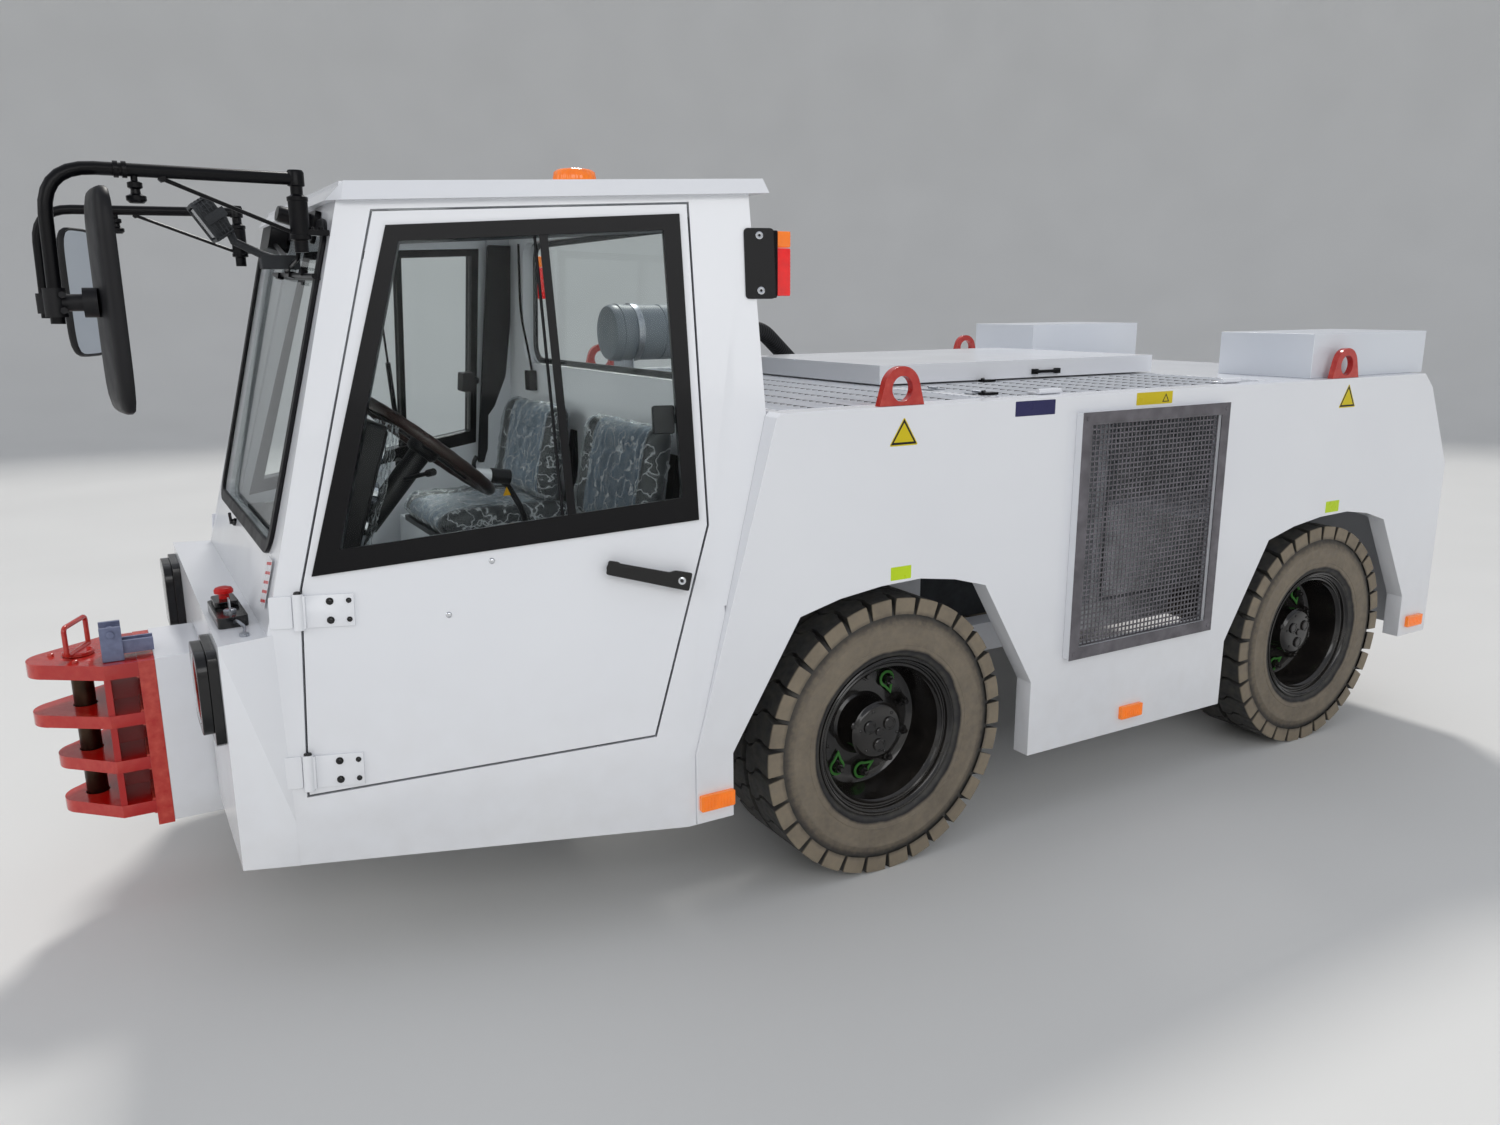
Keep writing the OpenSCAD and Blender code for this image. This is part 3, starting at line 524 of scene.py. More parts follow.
# %% Geometry Nodes trees
def tree_for(name, *inputs):
    """An empty geometry tree with named inputs; returns the tree and its input sockets."""
    tree = bpy.data.node_groups.new(name, "GeometryNodeTree")
    tree.interface.new_socket("Geometry", in_out="OUTPUT", socket_type="NodeSocketGeometry")
    for label, kind in inputs:
        tree.interface.new_socket(label, in_out="INPUT", socket_type="NodeSocket" + kind)
    return tree, add(tree, "NodeGroupInput").outputs


def ending(tree, instances, given):
    """The last nodes of a tree: real geometry with its material."""
    real = add(tree, "GeometryNodeRealizeInstances", links={0: instances})
    painted = add(tree, "GeometryNodeSetMaterial", links={"Geometry": real.outputs[0], "Material": given["Finish"]})
    add(tree, "NodeGroupOutput", links={0: painted.outputs[0]})


rows, given = tree_for("rows", ("Thing", "Object"), ("Columns", "Int"), ("Lines", "Int"), ("Width", "Float"),
                       ("Height", "Float"), ("Finish", "Material"))
points = add(rows, "GeometryNodeMeshGrid", links={"Vertices X": given["Columns"], "Vertices Y": given["Lines"],
                                                  "Size X": given["Width"], "Size Y": given["Height"]})
thing = add(rows, "GeometryNodeObjectInfo", links={"Object": given["Thing"]})
placed = add(rows, "GeometryNodeInstanceOnPoints",
             links={"Points": points.outputs["Mesh"], "Instance": thing.outputs["Geometry"]})
ending(rows, placed.outputs[0], given)

ring, given = tree_for("ring", ("Thing", "Object"), ("Count", "Int"), ("Start", "Float"), ("Finish", "Material"))
points = add(ring, "GeometryNodeMeshLine", links={"Count": given["Count"]}, values={"Offset": (0, 0, 0)})
turn = add(ring, "ShaderNodeMath", operation="DIVIDE", values={0: 2 * math.pi}, links={1: given["Count"]})
angle = add(ring, "ShaderNodeMath", operation="MULTIPLY_ADD",
            links={0: add(ring, "GeometryNodeInputIndex").outputs[0], 1: turn.outputs[0], 2: given["Start"]})
spin = add(ring, "ShaderNodeCombineXYZ", links={2: angle.outputs[0]})
thing = add(ring, "GeometryNodeObjectInfo", links={"Object": given["Thing"]})
placed = add(ring, "GeometryNodeInstanceOnPoints", links={"Points": points.outputs[0], "Rotation": spin.outputs[0],
                                                          "Instance": thing.outputs["Geometry"]})
ending(ring, placed.outputs[0], given)


def repeated(tree, bm, finish, place=None, **values):
    """Evaluates a tree on one small mesh and returns the finished mesh, moved by a matrix."""
    bmesh.ops.recalc_face_normals(bm, faces=bm.faces)
    thing = bpy.data.objects.new("thing", as_mesh(bm, "thing"))
    holder = bpy.data.objects.new("holder", bpy.data.meshes.new("holder"))
    for made in (thing, holder):
        bpy.context.collection.objects.link(made)
    grown = holder.modifiers.new("grown", "NODES")
    grown.node_group = tree
    names = {item.name: item.identifier for item in tree.interface.items_tree if item.in_out == "INPUT"}
    for label, value in dict(values, Thing=thing, Finish=finish).items():
        grown[names[label]] = value
    holder.update_tag()
    bpy.context.view_layer.update()
    result = bpy.data.meshes.new_from_object(holder.evaluated_get(bpy.context.evaluated_depsgraph_get()))
    for made in (thing, holder):
        bpy.data.objects.remove(made)
    if place:
        result.transform(place)
        if place.determinant() < 0:
            result.flip_normals()
    return result


def joined(*meshes):
    """Several meshes as one bmesh."""
    bm = bmesh.new()
    for mesh in meshes:
        bm.from_mesh(mesh)
    return bm


def spot(x, y, z):
    """A point given from the front axle, in the row frame."""
    return Vector((x + AXLE_X, y, z))


print("trees:", ", ".join(group.name for group in bpy.data.node_groups))

# %% [markdown]
# ## Tyres
# The tyre is an industrial 250-15 with an open block tread: thirty blocks on each shoulder, half a pitch
# apart, with notches that reach 40 mm down the side. The carcass is turned, the blocks are placed by the
# `ring` tree, and a `wheel` attribute keeps each point's place on the wheel for the rubber's material.

# %% Tyre meshes
CARCASS = ((0.2, 0.098), (0.21, 0.104), (0.2145, 0.108), (0.22, 0.113), (0.229, 0.1165), (0.24, 0.119),
           (0.2435, 0.119), (0.245, 0.1202), (0.2475, 0.1202), (0.249, 0.119), (0.26, 0.1198), (0.276, 0.1196),
           (0.29, 0.1188), (0.294, 0.12), (0.2965, 0.12), (0.3, 0.1182), (0.31, 0.1158), (0.324, 0.1118),
           (0.333, 0.1085), (0.344, 0.101), (0.348, 0.09), (0.349, 0.0))
BLOCKS = 30                               # on each shoulder
PITCH = 2 * math.pi / BLOCKS


def tread_block():
    """One shoulder block round the local z axis: u runs round the tyre and h outwards across it."""
    bm = bmesh.new()
    stations = ((0.005, -0.01, 0.007), (0.022, -0.013, 0.008), (0.04, -0.006, 0.009), (0.052, 0.01, 0.01),
                (0.074, 0.012, 0.012), (0.092, 0.004, 0.016), (0.108, 0.001, 0.018), (0.1175, 0.0, 0.019))
    arc = PITCH * TYRE_RADIUS
    steps = 5
    layers = []
    for radius, flare in ((TYRE_RADIUS, 0.0), (0.3655, 0.001), (0.35, 0.0022), (0.324, 0.0034)):
        layer = []
        for h, shift, gap in stations:
            low, high = shift + gap / 2 - flare, arc + shift - gap / 2 + flare
            inner = 0.006 * (0.02 - h) / 0.02 if h < 0.02 else 0.0
            line = []
            for k in range(steps):
                u = low + (high - low) * k / (steps - 1)
                angle = u / TYRE_RADIUS
                across = h + inner * k / (steps - 1) * 2
                if h > 0.117 and radius > 0.366:
                    across -= 0.0015
                line.append(bm.verts.new((radius * math.cos(angle), radius * math.sin(angle), across)))
            layer.append(line)
        layers.append(layer)
    top = layers[0]
    for a, b in zip(top, top[1:]):
        for k in range(steps - 1):
            bm.faces.new((a[k], a[k + 1], b[k + 1], b[k]))
    rims = [[*layer[0], *(line[-1] for line in layer[1:-1]), *layer[-1][::-1],
             *(line[0] for line in layer[-2:0:-1])]
            for layer in layers]
    for upper, lower in zip(rims, rims[1:]):
        for k in range(len(upper)):
            n = (k + 1) % len(upper)
            bm.faces.new((upper[k], upper[n], lower[n], lower[k]))
    for layer in layers[1:]:
        for line in layer[1:-1]:
            for vert in line[1:-1]:
                bm.verts.remove(vert)
    return bm


def wheel_place(x, side):
    """The matrix from a wheel's own frame, with z outwards, to the row frame."""
    turn = Matrix(((1, 0, 0), (0, 0, side), (0, 1, 0))).to_4x4()
    return Matrix.Translation((x + AXLE_X, side * TRACK_HALF, AXLE_Z)) @ turn


def tyre_mesh():
    """A whole tyre in its wheel's own frame."""
    carcass = bmesh.new()
    line = list(CARCASS) + [(r, -h) for r, h in CARCASS[-2::-1]]
    turned(carcass, line, plain, segments=96)
    bmesh.ops.recalc_face_normals(carcass, faces=carcass.faces)
    shell = as_mesh(carcass, "carcass")
    outer = repeated(ring, tread_block(), tread_rubber, Count=BLOCKS, Start=-math.pi / 2)
    far_side = Matrix.Rotation(math.pi, 4, "X")
    inner = repeated(ring, tread_block(), tread_rubber, place=far_side, Count=BLOCKS, Start=PITCH / 2)
    return joined(shell, outer, inner)


def wheel_rubber():
    """Tyre rubber: dark tread, dusty beige sides darkened towards the shoulder by painted shade, and a black ring
    next to the rim.
    """
    made, tree, shader = finish("tyre_rubber_dusty_sides_painted_shade", IOR=1.52, Specular_IOR_Level=0.4)
    place = add(tree, "ShaderNodeAttribute", attribute_name="wheel").outputs["Vector"]
    parts = add(tree, "ShaderNodeSeparateXYZ", links={0: place})
    flat = add(tree, "ShaderNodeCombineXYZ", links={0: parts.outputs[0], 1: parts.outputs[1]})
    radius = add(tree, "ShaderNodeVectorMath", operation="LENGTH", links={0: flat.outputs[0]}).outputs["Value"]
    width = add(tree, "ShaderNodeMath", operation="ABSOLUTE", links={0: parts.outputs[2]})
    cloud = lumps(tree, 70, -0.0035, 0.0035, detail=4.0, where=place)
    streak = lumps(tree, 14, 0.0, 1.0, detail=5.0, where=place)
    rough_radius = add(tree, "ShaderNodeMath", operation="ADD", links={0: radius, 1: cloud})
    side = add(tree, "ShaderNodeMapRange", links={0: width.outputs[0]},
               values={1: 0.1125, 2: 0.1165, 3: 0.0, 4: 1.0})
    beyond = add(tree, "ShaderNodeMapRange", links={0: rough_radius.outputs[0]},
                 values={1: 0.229, 2: 0.236, 3: 0.0, 4: 1.0})
    dusty = add(tree, "ShaderNodeMath", operation="MULTIPLY", links={0: side.outputs[0], 1: beyond.outputs[0]})
    # The side's outer band darkens towards the shoulder: painted shade.
    outer = add(tree, "ShaderNodeMapRange", links={0: rough_radius.outputs[0]},
                values={1: 0.29, 2: 0.312, 3: 0.0, 4: 1.0})
    worn = add(tree, "ShaderNodeMapRange", links={0: radius}, values={1: 0.322, 2: 0.334, 3: 0.0, 4: 1.0})
    beige = blend_of(tree, outer.outputs[0], "#7a7164", "#46413d")
    beige = blend_of(tree, worn.outputs[0], beige, "#897e6d")
    soft = lumps(tree, 110, 0.0, 0.55, detail=3.0, where=place)
    beige = blend_of(tree, soft, beige, "#47423f")
    faint = add(tree, "ShaderNodeMath", operation="MULTIPLY", links={0: streak}, values={1: 0.35})
    beige = blend_of(tree, faint.outputs[0], beige, "#93866f")
    tread = blend_of(tree, lumps(tree, 26, 0.0, 1.0, detail=5.0, where=place), "#2f2f32", "#47453f")
    colour = blend_of(tree, dusty.outputs[0], blend_of(tree, side.outputs[0], tread, "#17161a"), beige)
    tree.links.new(colour, shader.inputs["Base Color"])
    tree.links.new(lumps(tree, 20, 0.55, 0.8, where=place), shader.inputs["Roughness"])
    relief(tree, shader, lumps(tree, 1.8, 0.0, 1.0, detail=3.0, where=place), 0.12)
    return made


tread_rubber = wheel_rubber()
WHEELS = (("fl", 0.0, 1), ("fr", 0.0, -1), ("rl", -WHEEL_BASE, 1), ("rr", -WHEEL_BASE, -1))
for name, x, side in WHEELS:
    bm = tyre_mesh()
    place = wheel_place(x, side)
    local = bm.verts.layers.float_vector.new("wheel")
    for vert in bm.verts:
        vert[local] = vert.co
        vert.co = place @ vert.co
    if place.determinant() < 0:
        bmesh.ops.reverse_faces(bm, faces=bm.faces)
    made = piece(f"tyre_{name}_dressed", bm, tread_rubber, f"wheel_body_{name}", outward=False, angle=38,
                 replaces=[f"tyre_{name}"])
print("tyre faces:", len(made.data.polygons))

# %% [markdown]
# ## Wheels
# The rims are deep dished, with a lock ring by the outer flange, ten nuts on the disc and a planetary hub that
# stands out with three round bosses on its cap. Three green plastic pointers sit on the nuts.

# %% Rims, hubs and nuts
RIM = ((0.213, 0.1), (0.214, 0.1065), (0.2128, 0.1118), (0.2095, 0.1138), (0.206, 0.112), (0.2035, 0.107),
       (0.2005, 0.1042), (0.1985, 0.1035), (0.1975, 0.101), (0.197, 0.0965), (0.1945, 0.096), (0.192, 0.0985),
       (0.1885, 0.0995), (0.185, 0.0975), (0.1825, 0.092), (0.178, 0.087), (0.1762, 0.078), (0.1745, 0.04),
       (0.17, 0.006), (0.166, -0.005), (0.158, -0.011), (0.148, -0.014), (0.12, -0.014),
       (0.12, -0.026), (0.145, -0.026), (0.162, -0.037), (0.172, -0.07), (0.176, -0.1),
       (0.2, -0.116), (0.213, -0.116), (0.213, -0.107), (0.184, -0.094), (0.184, 0.084))
HUB = ((0.0, 0.015), (0.03, 0.015), (0.03, -0.066), (0.128, -0.066), (0.128, -0.0165), (0.118, -0.015),
       (0.086, -0.013), (0.079, -0.008), (0.0755, 0.002), (0.0742, 0.04), (0.0742, 0.049), (0.0775, 0.051),
       (0.078, 0.0575), (0.0742, 0.06), (0.0715, 0.0645), (0.0655, 0.068), (0.04, 0.0692), (0.0, 0.0694))
NUT_CIRCLE = 0.134


def nut():
    """A hexagon nut on its stud and washer, out on the bolt circle."""
    bm = bmesh.new()
    turned(bm, ((0.0, -0.014), (0.017, -0.014), (0.017, -0.011), (0.0, -0.011)), plain, segments=20)
    turned(bm, ((0.0, -0.011), (0.0125, -0.011), (0.014, -0.0095), (0.014, 0.006), (0.012, 0.0085), (0.0, 0.0085)),
           plain, segments=6)
    turned(bm, ((0.0, 0.008), (0.0072, 0.008), (0.0072, 0.018), (0.006, 0.0195), (0.0, 0.0195)), plain, segments=14)
    bm.transform(Matrix.Translation((NUT_CIRCLE, 0, 0)))
    return bm


def boss(reach, radius, low, high):
    """A round boss on the hub's cap."""
    bm = bmesh.new()
    turned(bm, ((0.0, low), (radius, low), (radius, high - 0.002), (radius - 0.003, high), (radius - 0.006, high),
                (radius - 0.007, high - 0.0015), (0.0, high - 0.0015)), plain, segments=28)
    bm.transform(Matrix.Translation((reach, 0, 0)))
    return bm


def pointer(angle, turned_by):
    """A flat plastic ring with one tip, which sits over a nut and shows if it has turned."""
    bm = bmesh.new()
    angles = [math.radians(35 + 290 * k / 20) for k in range(21)]
    outer, inner = ([(r * math.cos(a), r * math.sin(a)) for a in angles] for r in (0.0235, 0.0165))
    outer.append((0.046, 0.0))
    inner.append((0.032, 0.0))
    frame_prism(bm, outer, inner, lambda u, v, w: Vector((u, v, w - 0.0095)), 0.004)
    out = Matrix.Translation((NUT_CIRCLE, 0, 0))
    bm.transform(Matrix.Rotation(angle, 4, "Z") @ out @ Matrix.Rotation(turned_by, 4, "Z"))
    return bm


for name, x, side in WHEELS:
    place = wheel_place(x, side)
    rim = bmesh.new()
    turned(rim, RIM, plain, segments=96, closed=True)
    turned(rim, HUB, plain, segments=72)
    turned(rim, ((0.0, 0.069), (0.011, 0.069), (0.011, 0.0725), (0.009, 0.074), (0.0, 0.074)), plain, segments=24)
    bmesh.ops.recalc_face_normals(rim, faces=rim.faces)
    shell = as_mesh(rim, "rim")
    start = math.radians(54)
    parts = [shell,
             repeated(ring, nut(), black_enamel, Count=10, Start=start),
             repeated(ring, boss(0.036, 0.0175, 0.067, 0.0755), black_enamel, Count=3, Start=math.radians(30)),
             repeated(ring, boss(0.076, 0.0095, 0.044, 0.06), black_enamel, Count=2, Start=math.radians(20)),
             repeated(ring, boss(0.06, 0.004, 0.067, 0.0715), black_enamel, Count=6, Start=0.2)]
    bm = joined(*parts)
    bm.transform(place)
    if place.determinant() < 0:
        bmesh.ops.reverse_faces(bm, faces=bm.faces)
    piece(f"wheel_{name}_dressed", bm, black_enamel, f"wheel_body_{name}", outward=False, angle=30,
          replaces=[f"wheel_{name}"])
    marks = bmesh.new()
    for beyond, turned_by in ((72, 2.2), (216, -2.0), (252, 2.6)):
        mark = pointer(start + math.radians(beyond), turned_by)
        marks.from_mesh(as_mesh(mark, "mark"))
    marks.transform(place)
    piece(f"nut_pointers_{name}", marks, green_pe, f"wheel_body_{name}", bevel=0.0006)
print("wheels:", len(WHEELS))

# %% [markdown]
# ## Side grilles
# Each grille is a white plinth on the panel, a flat face frame in grey steel over it and, 16 mm behind the
# face, a mesh with 34 by 43 square holes. The two layers of bars come from the `rows` tree.

# %% Grille frames and mesh
GRILLE = (-1.135, -0.551, 0.496, 1.17)      # rear, front, low and high edges, from the front axle
FACE = 0.034


def block(size):
    """A small box centred on the origin."""
    bm = bmesh.new()
    half = [s / 2 for s in size]
    box(bm, [-h for h in half], half)
    return bm


def outline_of(x0, x1, z0, z1, inset=0.0):
    """The four corners of a rectangle, drawn in by an inset."""
    return [(x0 + inset, z0 + inset), (x1 - inset, z0 + inset), (x1 - inset, z1 - inset), (x0 + inset, z1 - inset)]


x0, x1, z0, z1 = GRILLE
for side, name in SIDES:
    def facing(u, v, w, start=HALF_WIDTH):
        return Vector((u + AXLE_X, side * (start + w), v))
    bm = bmesh.new()
    frame_prism(bm, outline_of(x0, x1, z0, z1, 0.002), outline_of(x0, x1, z0, z1, FACE - 0.004), facing, 0.0252)
    piece(f"grille_plinth_{name}", bm, white_enamel, "tug", bevel=0.0015, replaces=["grilles"])
    bm = bmesh.new()
    frame_prism(bm, outline_of(x0, x1, z0, z1), outline_of(x0, x1, z0, z1, FACE),
                lambda u, v, w: facing(u, v, w, HALF_WIDTH + 0.0252), 0.0022)
    for u in (x0 + 0.017, x1 - 0.017):
        for v in (z0 + 0.017, z1 - 0.017):
            turned(bm, ((0.0, 0.0), (0.0062, 0.0), (0.0055, 0.0022), (0.0, 0.003)),
                   lambda a, b, h, u=u, v=v: facing(u + a, v + b, h, HALF_WIDTH + 0.027), segments=16)
    piece(f"grille_face_{name}", bm, grille_steel, "tug", bevel=0.0008)
    bm = bmesh.new()
    frame_prism(bm, outline_of(x0, x1, z0, z1, 0.006), outline_of(x0, x1, z0, z1, FACE - 0.001),
                lambda u, v, w: facing(u, v, w, HALF_WIDTH + 0.024), 0.0014)
    piece(f"grille_gasket_{name}", bm, seal_rubber, "tug")
    wide, tall = x1 - x0 - 2 * FACE + 0.004, z1 - z0 - 2 * FACE + 0.004
    middle = Matrix.Translation(((x0 + x1) / 2 + AXLE_X, side * (HALF_WIDTH + 0.0125), (z0 + z1) / 2))
    upright_plane = middle @ Matrix.Rotation(math.pi / 2, 4, "X")
    mesh = joined(repeated(rows, block((0.0042, tall, 0.002)), grille_steel, Columns=35, Lines=1,
                           Width=wide - 0.004, Height=0.0, place=upright_plane),
                  repeated(rows, block((wide, 0.0042, 0.002)), grille_steel, Columns=1, Lines=44,
                           Width=0.0, Height=tall - 0.004,
                           place=upright_plane @ Matrix.Translation((0, 0, 0.0004))))
    piece(f"grille_mesh_{name}", mesh, grille_steel, "tug", outward=False)

# %% [markdown]
# ## Deck gratings
# The deck is welded grating: flat bars 25 mm deep that run along the vehicle 30 mm apart, tied by thinner bars
# across. The bay behind the cab and the right bay are fixed, and the left one is the lid. Bars stand on edge,
# so from the side they close up. Their sides turn dark below the tops and the ties are dark, both painted shade
# that shows as thin dark lines.

# %% Gratings
DEPTH = 0.025
# The bars' sides turn dark grey below the deck's top: painted shade between the bars.
grating_enamel, tree, shader = finish("grating_enamel_painted_shade_between_bars", IOR=1.5, Roughness=0.4)
height = add(tree, "ShaderNodeSeparateXYZ", links={0: add(tree, "ShaderNodeTexCoord").outputs["Object"]}).outputs[2]
deep = add(tree, "ShaderNodeMapRange", links={0: height},
           values={1: DECK_Z - 0.0035, 2: DECK_Z - 0.014, 3: 0.0, 4: 1.0})
top_tone = blend_of(tree, lumps(tree, 60, 0.0, 1.0, detail=4.0), "#e6e9ee", "#dadee5")
tree.links.new(blend_of(tree, deep.outputs[0], top_tone, "#70747c"), shader.inputs["Base Color"])
relief(tree, shader, lumps(tree, 6, 0.0, 1.0), 0.03)
# The ties' dark enamel is painted shade, standing for the bars' shadow on them.
tie_painted_shade = enamel("grating_ties_painted_shade", "#3c3f46", "#2f3238", 0.5, level=0.2, coat=0.0)


def grating(x0, x1, y0, y1, bars, ties):
    """A bmesh of one grating over a rectangle given from the front axle, level with the deck; ties get slot 1,
    their painted shade.
    """
    middle = Matrix.Translation(((x0 + x1) / 2 + AXLE_X, (y0 + y1) / 2, DECK_Z - DEPTH / 2))
    long, wide = x1 - x0, y1 - y0
    bm = joined(
        repeated(rows, block((long, 0.0045, DEPTH)), grating_enamel, place=middle, Columns=1, Lines=bars,
                 Width=0.0, Height=wide - 0.0045),
        repeated(rows, block((0.007, wide, DEPTH * 0.72)), grating_enamel,
                 place=middle @ Matrix.Translation((0, 0, 0.0034)),
                 Columns=ties, Lines=1, Width=long - 0.007, Height=0.0),
        repeated(rows, block((0.0074, wide, DEPTH)), grating_enamel, place=middle, Columns=2, Lines=1,
                 Width=long - 0.0074, Height=0.0))
    # Tie faces take slot 1, the ties' painted shade.
    for face in bm.faces:
        span = [max(v.co[k] for v in face.verts) - min(v.co[k] for v in face.verts) for k in (0, 1)]
        inside = abs(face.calc_center_median().x - middle.translation.x) < long / 2 - 0.02
        face.material_index = 1 if inside and span[0] < 0.0075 and span[1] > 0.1 else 0
    return bm


bm = grating(-0.3, 0.328, -0.838, 0.838, 57, 7)
more = grating(-1.415, -0.335, -0.836, -0.405, 16, 12)
bm.from_mesh(as_mesh(more, "more"))
piece("deck_grating_dressed", bm, [grating_enamel, tie_painted_shade], "tug", outward=False, replaces=["deck_grating"])
lid = grating(-1.415, -0.335, 0.405, 0.836, 16, 12)
piece("grating_lid_dressed", lid, [grating_enamel, tie_painted_shade], "lid", outward=False, replaces=["grating_lid"])
bm = bmesh.new()
for x in (-1.24, -0.51):
    knuckle = Vector((x + AXLE_X, 0.844, DECK_Z + 0.008))
    tube(bm, [knuckle - Vector((0.04, 0, 0)), knuckle + Vector((0.04, 0, 0))], 0.0073, 20)
    box(bm, knuckle + Vector((-0.038, -0.043, -0.0073)), knuckle + Vector((0.038, -0.003, -0.002)))
piece("lid_hinges", bm, white_enamel, "lid", bevel=0.0008)
print("gratings done")

# %% [markdown]
# ## Door furniture
# The cab's sides lean inward and taper forward, so what is screwed to them is placed by `on_side`: u runs
# forward along the plane, v up it and w out of it. The doors carry a black pull handle with a key ring, two
# screws, white hinges with black bolts and, inside the window, a black latch.

# %% Hinges, handles and latches
TAPER, LEAN = 0.346, 0.165
CREASE = (0.576, 0.458)                   # x and z of the sill's crease, where the side is widest
ALONG = Vector((1, -TAPER, 0)).normalized()
OUTWARD = Vector((TAPER, 1, LEAN)).normalized()
UPWARD = ALONG.cross(OUTWARD)


def on_side(side, x, z):
    """A placing function round a point of the cab's side, with x and z given from the front axle."""
    start = Vector((x, HALF_WIDTH - TAPER * (x - CREASE[0]) - LEAN * (z - CREASE[1]), z))

    def at(u, v, w):
        p = start + ALONG * u + UPWARD * v + OUTWARD * w
        return Vector((p.x + AXLE_X, side * p.y, p.z))
    return at


def slid(at, u=0.0, v=0.0, w=0.0):
    """The same placing function, shifted."""
    return lambda a, b, c: at(a + u, b + v, c + w)


def dome(bm, at, radius, height, low=0.0, segments=20):
    """A domed screw head or button."""
    turned(bm, ((0.0, low), (radius, low), (radius, low + height * 0.35), (radius * 0.8, low + height * 0.8),
                (radius * 0.4, low + height), (0.0, low + height)), at, segments=segments)


def hexagon(bm, at, radius, height, low=0.0):
    """A hexagon bolt head on its washer."""
    turned(bm, ((0.0, low), (radius * 1.35, low), (radius * 1.35, low + height * 0.2), (0.0, low + height * 0.2)),
           at, segments=20)
    turned(bm, ((0.0, low + height * 0.2), (radius, low + height * 0.2), (radius, low + height * 0.9),
                (radius * 0.85, low + height), (0.0, low + height)), at, segments=6)


for side, name in SIDES:
    door = f"door_{name[0]}"
    shell = bpy.data.objects[f"door_{name}_finished"]
    shell.data.materials.append(gloss_abs)
    grip = on_side(side, 0.647, 0.868)
    inverse = Matrix([[*(grip(*a) - grip(0, 0, 0))] for a in ((1, 0, 0), (0, 1, 0), (0, 0, 1))])
    for face in shell.data.polygons:
        u, v, w = inverse @ (face.center - grip(0, 0, 0))
        if abs(u) < 0.11 and abs(v) < 0.05 and w > 0.003:
            face.material_index = 1
    slope = math.atan2(0.035, 0.15)

    def tilted(u, v, w, grip=grip):
        return grip(u * math.cos(slope) - v * math.sin(slope), u * math.sin(slope) + v * math.cos(slope), w)
    bm = bmesh.new()
    outline = rounded([(-0.094, -0.019), (0.092, -0.015), (0.092, 0.016), (0.07, 0.017), (0.062, 0.012),
                       (-0.045, 0.015),
                       (-0.055, 0.021), (-0.094, 0.022)], 0.005, 3)
    prism(bm, outline, slid(tilted, w=0.0215), 0.013)
    for u in (-0.073, 0.073):
        prism(bm, rectangle(u - 0.017, u + 0.017, -0.013, 0.013, 0.005, 3), tilted, 0.022)
    piece(f"door_handle_{name}", bm, gloss_abs, door, bevel=0.002)
    bm = bmesh.new()
    turned(bm, ((0.0035, 0.0335), (0.006, 0.0335), (0.0085, 0.034), (0.0085, 0.0362), (0.005, 0.0366),
                (0.0035, 0.035)),
           slid(tilted, u=-0.074, v=0.001), segments=28, closed=True)
    for x, z in ((0.96, 0.913), (1.056, 0.803)):
        dome(bm, on_side(side, x, z), 0.0065, 0.003)
    piece(f"door_screws_{name}", bm, chrome, door)

    bolts, plates = bmesh.new(), bmesh.new()
    for z in (0.826, 0.49):
        leaf = on_side(side, 1.3569 - 0.051 * (z - 0.49), z)      # the axis leans as the side does
        for v in (-0.02, 0.02):
            hexagon(bolts, slid(leaf, u=-0.062, v=v, w=0.0062), 0.0058, 0.0052)
            hexagon(bolts, slid(leaf, u=-0.1, v=v, w=0.0062), 0.0042, 0.0036)
        dome(bolts, lambda a, b, c, leaf=leaf: leaf(a, 0.0385 + c, 0.012 + b), 0.0085, 0.006)
        prism(plates, rectangle(0.014, 0.06, -0.034, 0.034, 0.004, 2),
              slid(leaf, w=0.0002), 0.0045)
    piece(f"hinge_bolts_{name}", bolts, gloss_abs, door)
    piece(f"hinge_plates_{name}", plates, white_enamel, "tug", bevel=0.0012)

    bm = bmesh.new()
    latch = on_side(side, 0.585, 1.205)
    prism(bm, rectangle(-0.03, 0.018, -0.032, 0.03, 0.005, 3), slid(latch, w=-0.052), 0.03)
    prism(bm, rectangle(-0.052, -0.026, -0.009, 0.011, 0.003, 2), slid(latch, w=-0.046), 0.018)
    piece(f"window_latch_{name}", bm, black_abs, door, bevel=0.0015)

    bm = bmesh.new()
    low, high = on_side(side, 0.797, 1.0), on_side(side, 0.797, 1.6)
    tube(bm, [low(0.012, -0.01, -0.0085), high(0.012, 0.0, -0.0085)], 0.0035, 8)
    piece(f"pane_seal_{name}", bm, seal_rubber, door)

# %% [markdown]
# ## Lamps
# Tail lamps hang behind the cab's rear corners on black brackets: an amber lens above a ribbed red one. The
# headlamps are round reflectors in square bezels. The beacon has a fluted amber dome, and small amber markers
# sit low on the side panels.

